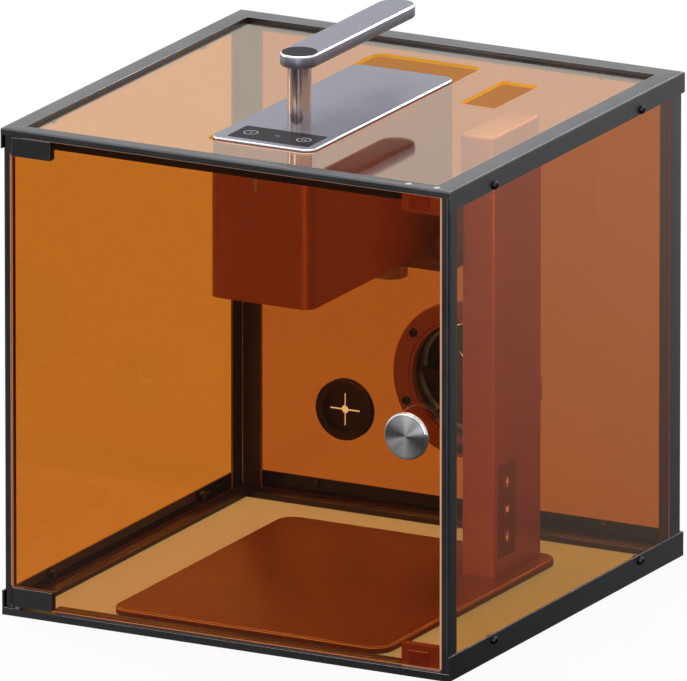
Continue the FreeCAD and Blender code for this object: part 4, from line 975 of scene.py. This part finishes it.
@dataclass
class ScanHead:
    """Head shell on its arm, with its optics, top plate and control glass."""

    edge: float = 0.4
    plate_edge: float = 0.25
    icon_radius: float = 5.6 * MM
    icon_spread: float = 23.6 * MM
    icon_stroke: float = 0.7 * MM
    icon_height: float = 0.05 * MM

    def icons(self, dresser: Dresser) -> None:
        """Prints two ring icons and a small arrow on the control glass."""
        low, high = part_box("control_glass")
        middle = Vector(((low.x + high.x) / 2, (low.y + high.y) / 2, high.z))
        pen, r = self.icon_stroke, self.icon_radius
        ring = [arc_band(r, pen, 0, 180), arc_band(r, pen, 180, 360)]
        power = [*ring, bar(0, -0.3 * r, 0, 0.45 * r, pen)]
        pause = [*ring, *(bar(side * r, -0.4 * r, side * r, 0.4 * r, pen) for side in (-0.25, 0.25))]
        chevron = [bar(-0.45 * r, 0.1 * r, 0.0, 0.5 * r, pen), bar(0.45 * r, -0.1 * r, 0.0, -0.5 * r, pen)]
        for name, outlines, shift, finish in (
            ("start_icon", power, -self.icon_spread, ICON_PALE),
            ("pause_icon", pause, self.icon_spread, ICON_PALE),
            ("focus_icon", chevron, 0.0, ICON_BLUE),
        ):
            mark = slab(name, outlines, middle + RIGHT * shift, RIGHT, BACK, self.icon_height)
            dresser.add_on(mark, finish, "head")

    def build(self, dresser: Dresser) -> None:
        """Dresses the head."""
        dresser.dress(BODY_GREY_PAINTED_AMBER, "head_shell")
        dresser.ease(INNER_GREY, self.edge, "arm_bracket")
        dresser.dress(KNURLED_PAINTED_AMBER, "clamp_knob")
        dresser.dress(SCREW_BLACK, "lens_barrel")
        dresser.ease(SATIN_SILVER, self.plate_edge, "head_top_plate", rim=POLISHED, sloped=True)
        dresser.dress(CONTROL_GLASS, "control_glass")
        dresser.dress(LIGHT_PIPE, "status_light")
        dresser.dress(LENS_GLASS, "lens_glass")
        dresser.dress(INNER_GREY, "laser_module")
        dresser.dress(MOTOR_BLACK, "galvo_motors")
        dresser.dress(MIRROR, "x_mirror", "y_mirror")
        dresser.dress(FAN_BLACK, "head_fan_frame", "head_fan_impeller")
        dresser.dress(BOARD, "control_board")
        self.icons(dresser)


@dataclass
class Handle:
    """Polished post with the swivelling lever."""

    edge: float = 0.3

    def build(self, dresser: Dresser) -> None:
        """Dresses the handle."""
        dresser.dress(POST_STEEL_PAINTED_AMBER, "handle_post")
        dresser.ease(SATIN_SILVER, self.edge, "handle_lever", rim=POLISHED, sloped=True)
        dresser.dress(CONTROL_GLASS, "handle_cap")


# ------------------------------------------------------------------ studio
@dataclass(frozen=True)
class Pale(Finish):
    """Pale studio paper: white to the eye and through glass, and it keeps the object's shadow; in reflections it is a
    painted reflection, dark toward the front right and pale toward the back left.
    """

    colour: str = "F2F2F2"
    own: float = 0.92
    bright_way: tuple[float, float, float] = (-0.6, 0.8, 0.0)
    far: float = 0.9
    near: float = 0.06
    reach: tuple[float, float] = (-0.3, 1.6)

    def shade(self, tree: Any) -> Any:
        """Lit paper, with white added for rays that look at it; reflected rays see a painted reflection that is dark
        toward the front right and pales toward the back left.
        """
        paper = add(tree, "ShaderNodeBsdfDiffuse", {"Color": linear(self.colour)}).outputs[0]
        white = add(tree, "ShaderNodeEmission", {"Color": (1.0, 1.0, 1.0, 1.0), "Strength": 1.0}).outputs[0]
        path = add(tree, "ShaderNodeLightPath").outputs
        seen = add(tree, "ShaderNodeMath", {0: path["Is Camera Ray"], 1: path["Is Transmission Ray"]},
                   operation="MAXIMUM").outputs[0]
        share = add(tree, "ShaderNodeMath", {0: seen, 1: self.own}, operation="MULTIPLY").outputs[0]
        plain = add(tree, "ShaderNodeMixShader", {0: share, 1: paper, 2: white}).outputs[0]
        bounced = add(tree, "ShaderNodeMath", {0: path["Glossy Depth"], 1: 1.0}, operation="MINIMUM").outputs[0]
        mirrored = add(tree, "ShaderNodeMath", {0: path["Is Glossy Ray"], 1: bounced}, operation="MULTIPLY").outputs[0]
        # painted reflection: in reflections the floor's brightness is set by its position, not by light
        feeds = {0: object_place(tree), 1: self.bright_way}
        lean = add(tree, "ShaderNodeVectorMath", feeds, operation="DOT_PRODUCT").outputs["Value"]
        start, stop = self.reach
        feeds = {"Value": lean, "From Min": start, "From Max": stop, "To Min": self.near, "To Max": self.far}
        level = add(tree, "ShaderNodeMapRange", feeds).outputs[0]
        sheen = add(tree, "ShaderNodeEmission", {"Color": (1.0, 1.0, 1.0, 1.0), "Strength": level}).outputs[0]
        return add(tree, "ShaderNodeMixShader", {0: mirrored, 1: plain, 2: sheen}).outputs[0]


@dataclass
class Studio:
    """Pale floor, soft lights and the camera."""

    floor_half: float = 9.0
    floor_drop: float = 0.3 * MM
    azimuth: float = 28.0
    elevation: float = 16.0
    lens: float = 1500.0
    distance: float = 22.674
    aim: tuple[float, float, float] = (-0.6 * MM, 0.4 * MM, 201.5 * MM)

    def floor(self) -> None:
        """Lays the floor just under the object."""
        h, z = self.floor_half, -self.floor_drop
        mesh = bpy.data.meshes.new("studio_floor")
        mesh.from_pydata([(-h, -h, z), (h, -h, z), (h, h, z), (-h, h, z)], [], [(0, 1, 2, 3)])
        mesh.materials.append(Pale("studio_paper").material())
        new_object("studio_floor", mesh)

    def surround(self) -> None:
        """A white surround to look at, and a softer one, brightest above and behind, for lighting."""
        world = bpy.data.worlds.new("studio")
        bpy.context.scene.world = world
        world.use_nodes = True
        tree = world.node_tree
        tree.nodes.clear()
        way = add(tree, "ShaderNodeTexCoord").outputs["Generated"]
        toward = Vector((-0.25, 0.62, 0.74)).normalized()
        lean = add(tree, "ShaderNodeVectorMath", {0: way, 1: tuple(toward)}, operation="DOT_PRODUCT").outputs["Value"]
        level = add(tree, "ShaderNodeMapRange", {
            "Value": lean, "From Min": -0.75, "From Max": 0.85, "To Min": 0.12, "To Max": 1.05,
        }).outputs[0]
        soft = add(tree, "ShaderNodeBackground", {"Color": (1.0, 1.0, 1.0, 1.0), "Strength": level}).outputs[0]
        white = add(tree, "ShaderNodeBackground", {"Color": (1.0, 1.0, 1.0, 1.0), "Strength": 1.0}).outputs[0]
        path = add(tree, "ShaderNodeLightPath").outputs
        seen = add(tree, "ShaderNodeMath", {0: path["Is Camera Ray"], 1: path["Is Transmission Ray"]},
                   operation="MAXIMUM").outputs[0]
        seen = add(tree, "ShaderNodeMath", {0: seen, 1: path["Is Glossy Ray"]}, operation="MAXIMUM").outputs[0]
        both = add(tree, "ShaderNodeMixShader", {0: seen, 1: soft, 2: white}).outputs[0]
        add(tree, "ShaderNodeOutputWorld", {"Surface": both})

    def lamp(self, name: str, place: Vector, width: float, height: float, power: float) -> None:
        """A soft rectangular lamp that points at the object's middle.

        Args:
            name: The lamp's name.
            place: Where it hangs, in metres.
            width: Its width in metres.
            height: Its height in metres.
            power: Its power in watts.
        """
        data = bpy.data.lights.new(name, "AREA")
        data.shape = "RECTANGLE"
        data.size, data.size_y, data.energy = width, height, power
        lamp = bpy.data.objects.new(name, data)
        bpy.context.scene.collection.objects.link(lamp)
        lamp.location = place
        lamp.rotation_euler = (Vector(self.aim) - place).to_track_quat("-Z", "Y").to_euler()

    def camera(self) -> None:
        """A long lens, so that parallel edges stay parallel."""
        a, e = math.radians(self.azimuth), math.radians(self.elevation)
        back = Vector((math.sin(a) * math.cos(e), -math.cos(a) * math.cos(e), math.sin(e)))
        data = bpy.data.cameras.new("camera")
        data.lens = self.lens
        data.clip_start, data.clip_end = 1.0, 100.0
        eye = bpy.data.objects.new("camera", data)
        bpy.context.scene.collection.objects.link(eye)
        eye.location = Vector(self.aim) + back * self.distance
        eye.rotation_euler = (-back).to_track_quat("-Z", "Y").to_euler()
        bpy.context.scene.camera = eye

    def build(self) -> None:
        """Sets up the whole studio."""
        self.floor()
        self.surround()
        self.lamp("top_softbox", Vector((-0.3, 0.35, 2.0)), 1.8, 1.8, 14.0)
        self.lamp("left_softbox", Vector((-1.9, -0.2, 1.1)), 0.7, 1.4, 7.0)
        self.lamp("back_softbox", Vector((0.4, 2.6, 1.7)), 1.2, 0.5, 11.0)
        self.lamp("front_strip", Vector((0.75, -2.3, 0.4)), 0.35, 0.8, 7.0)
        self.lamp("front_fill", Vector((-0.8, -2.3, 0.9)), 0.8, 0.8, 4.0)
        self.camera()


def main() -> None:
    """Builds the object's looks around the frame, piece by piece."""
    logging.basicConfig(level=logging.INFO, format="%(message)s")
    bpy.context.scene.view_settings.view_transform = "Standard"
    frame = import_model()
    slots = {row["node"]: row["material_slot"] for row in frame["record"]["subparts"]}
    bodies = {node: body for body, names in frame["record"]["behaviour"]["bodies"].items() for node in names}
    dresser = Dresser(frame["nodes"], slots, bodies)
    for part in (Enclosure(), Door(), Exhaust(), Column(), ScanHead(), Handle()):
        LOG.info("%s", type(part).__name__)
        part.build(dresser)
    Studio().build()


if __name__ == "__main__":
    main()
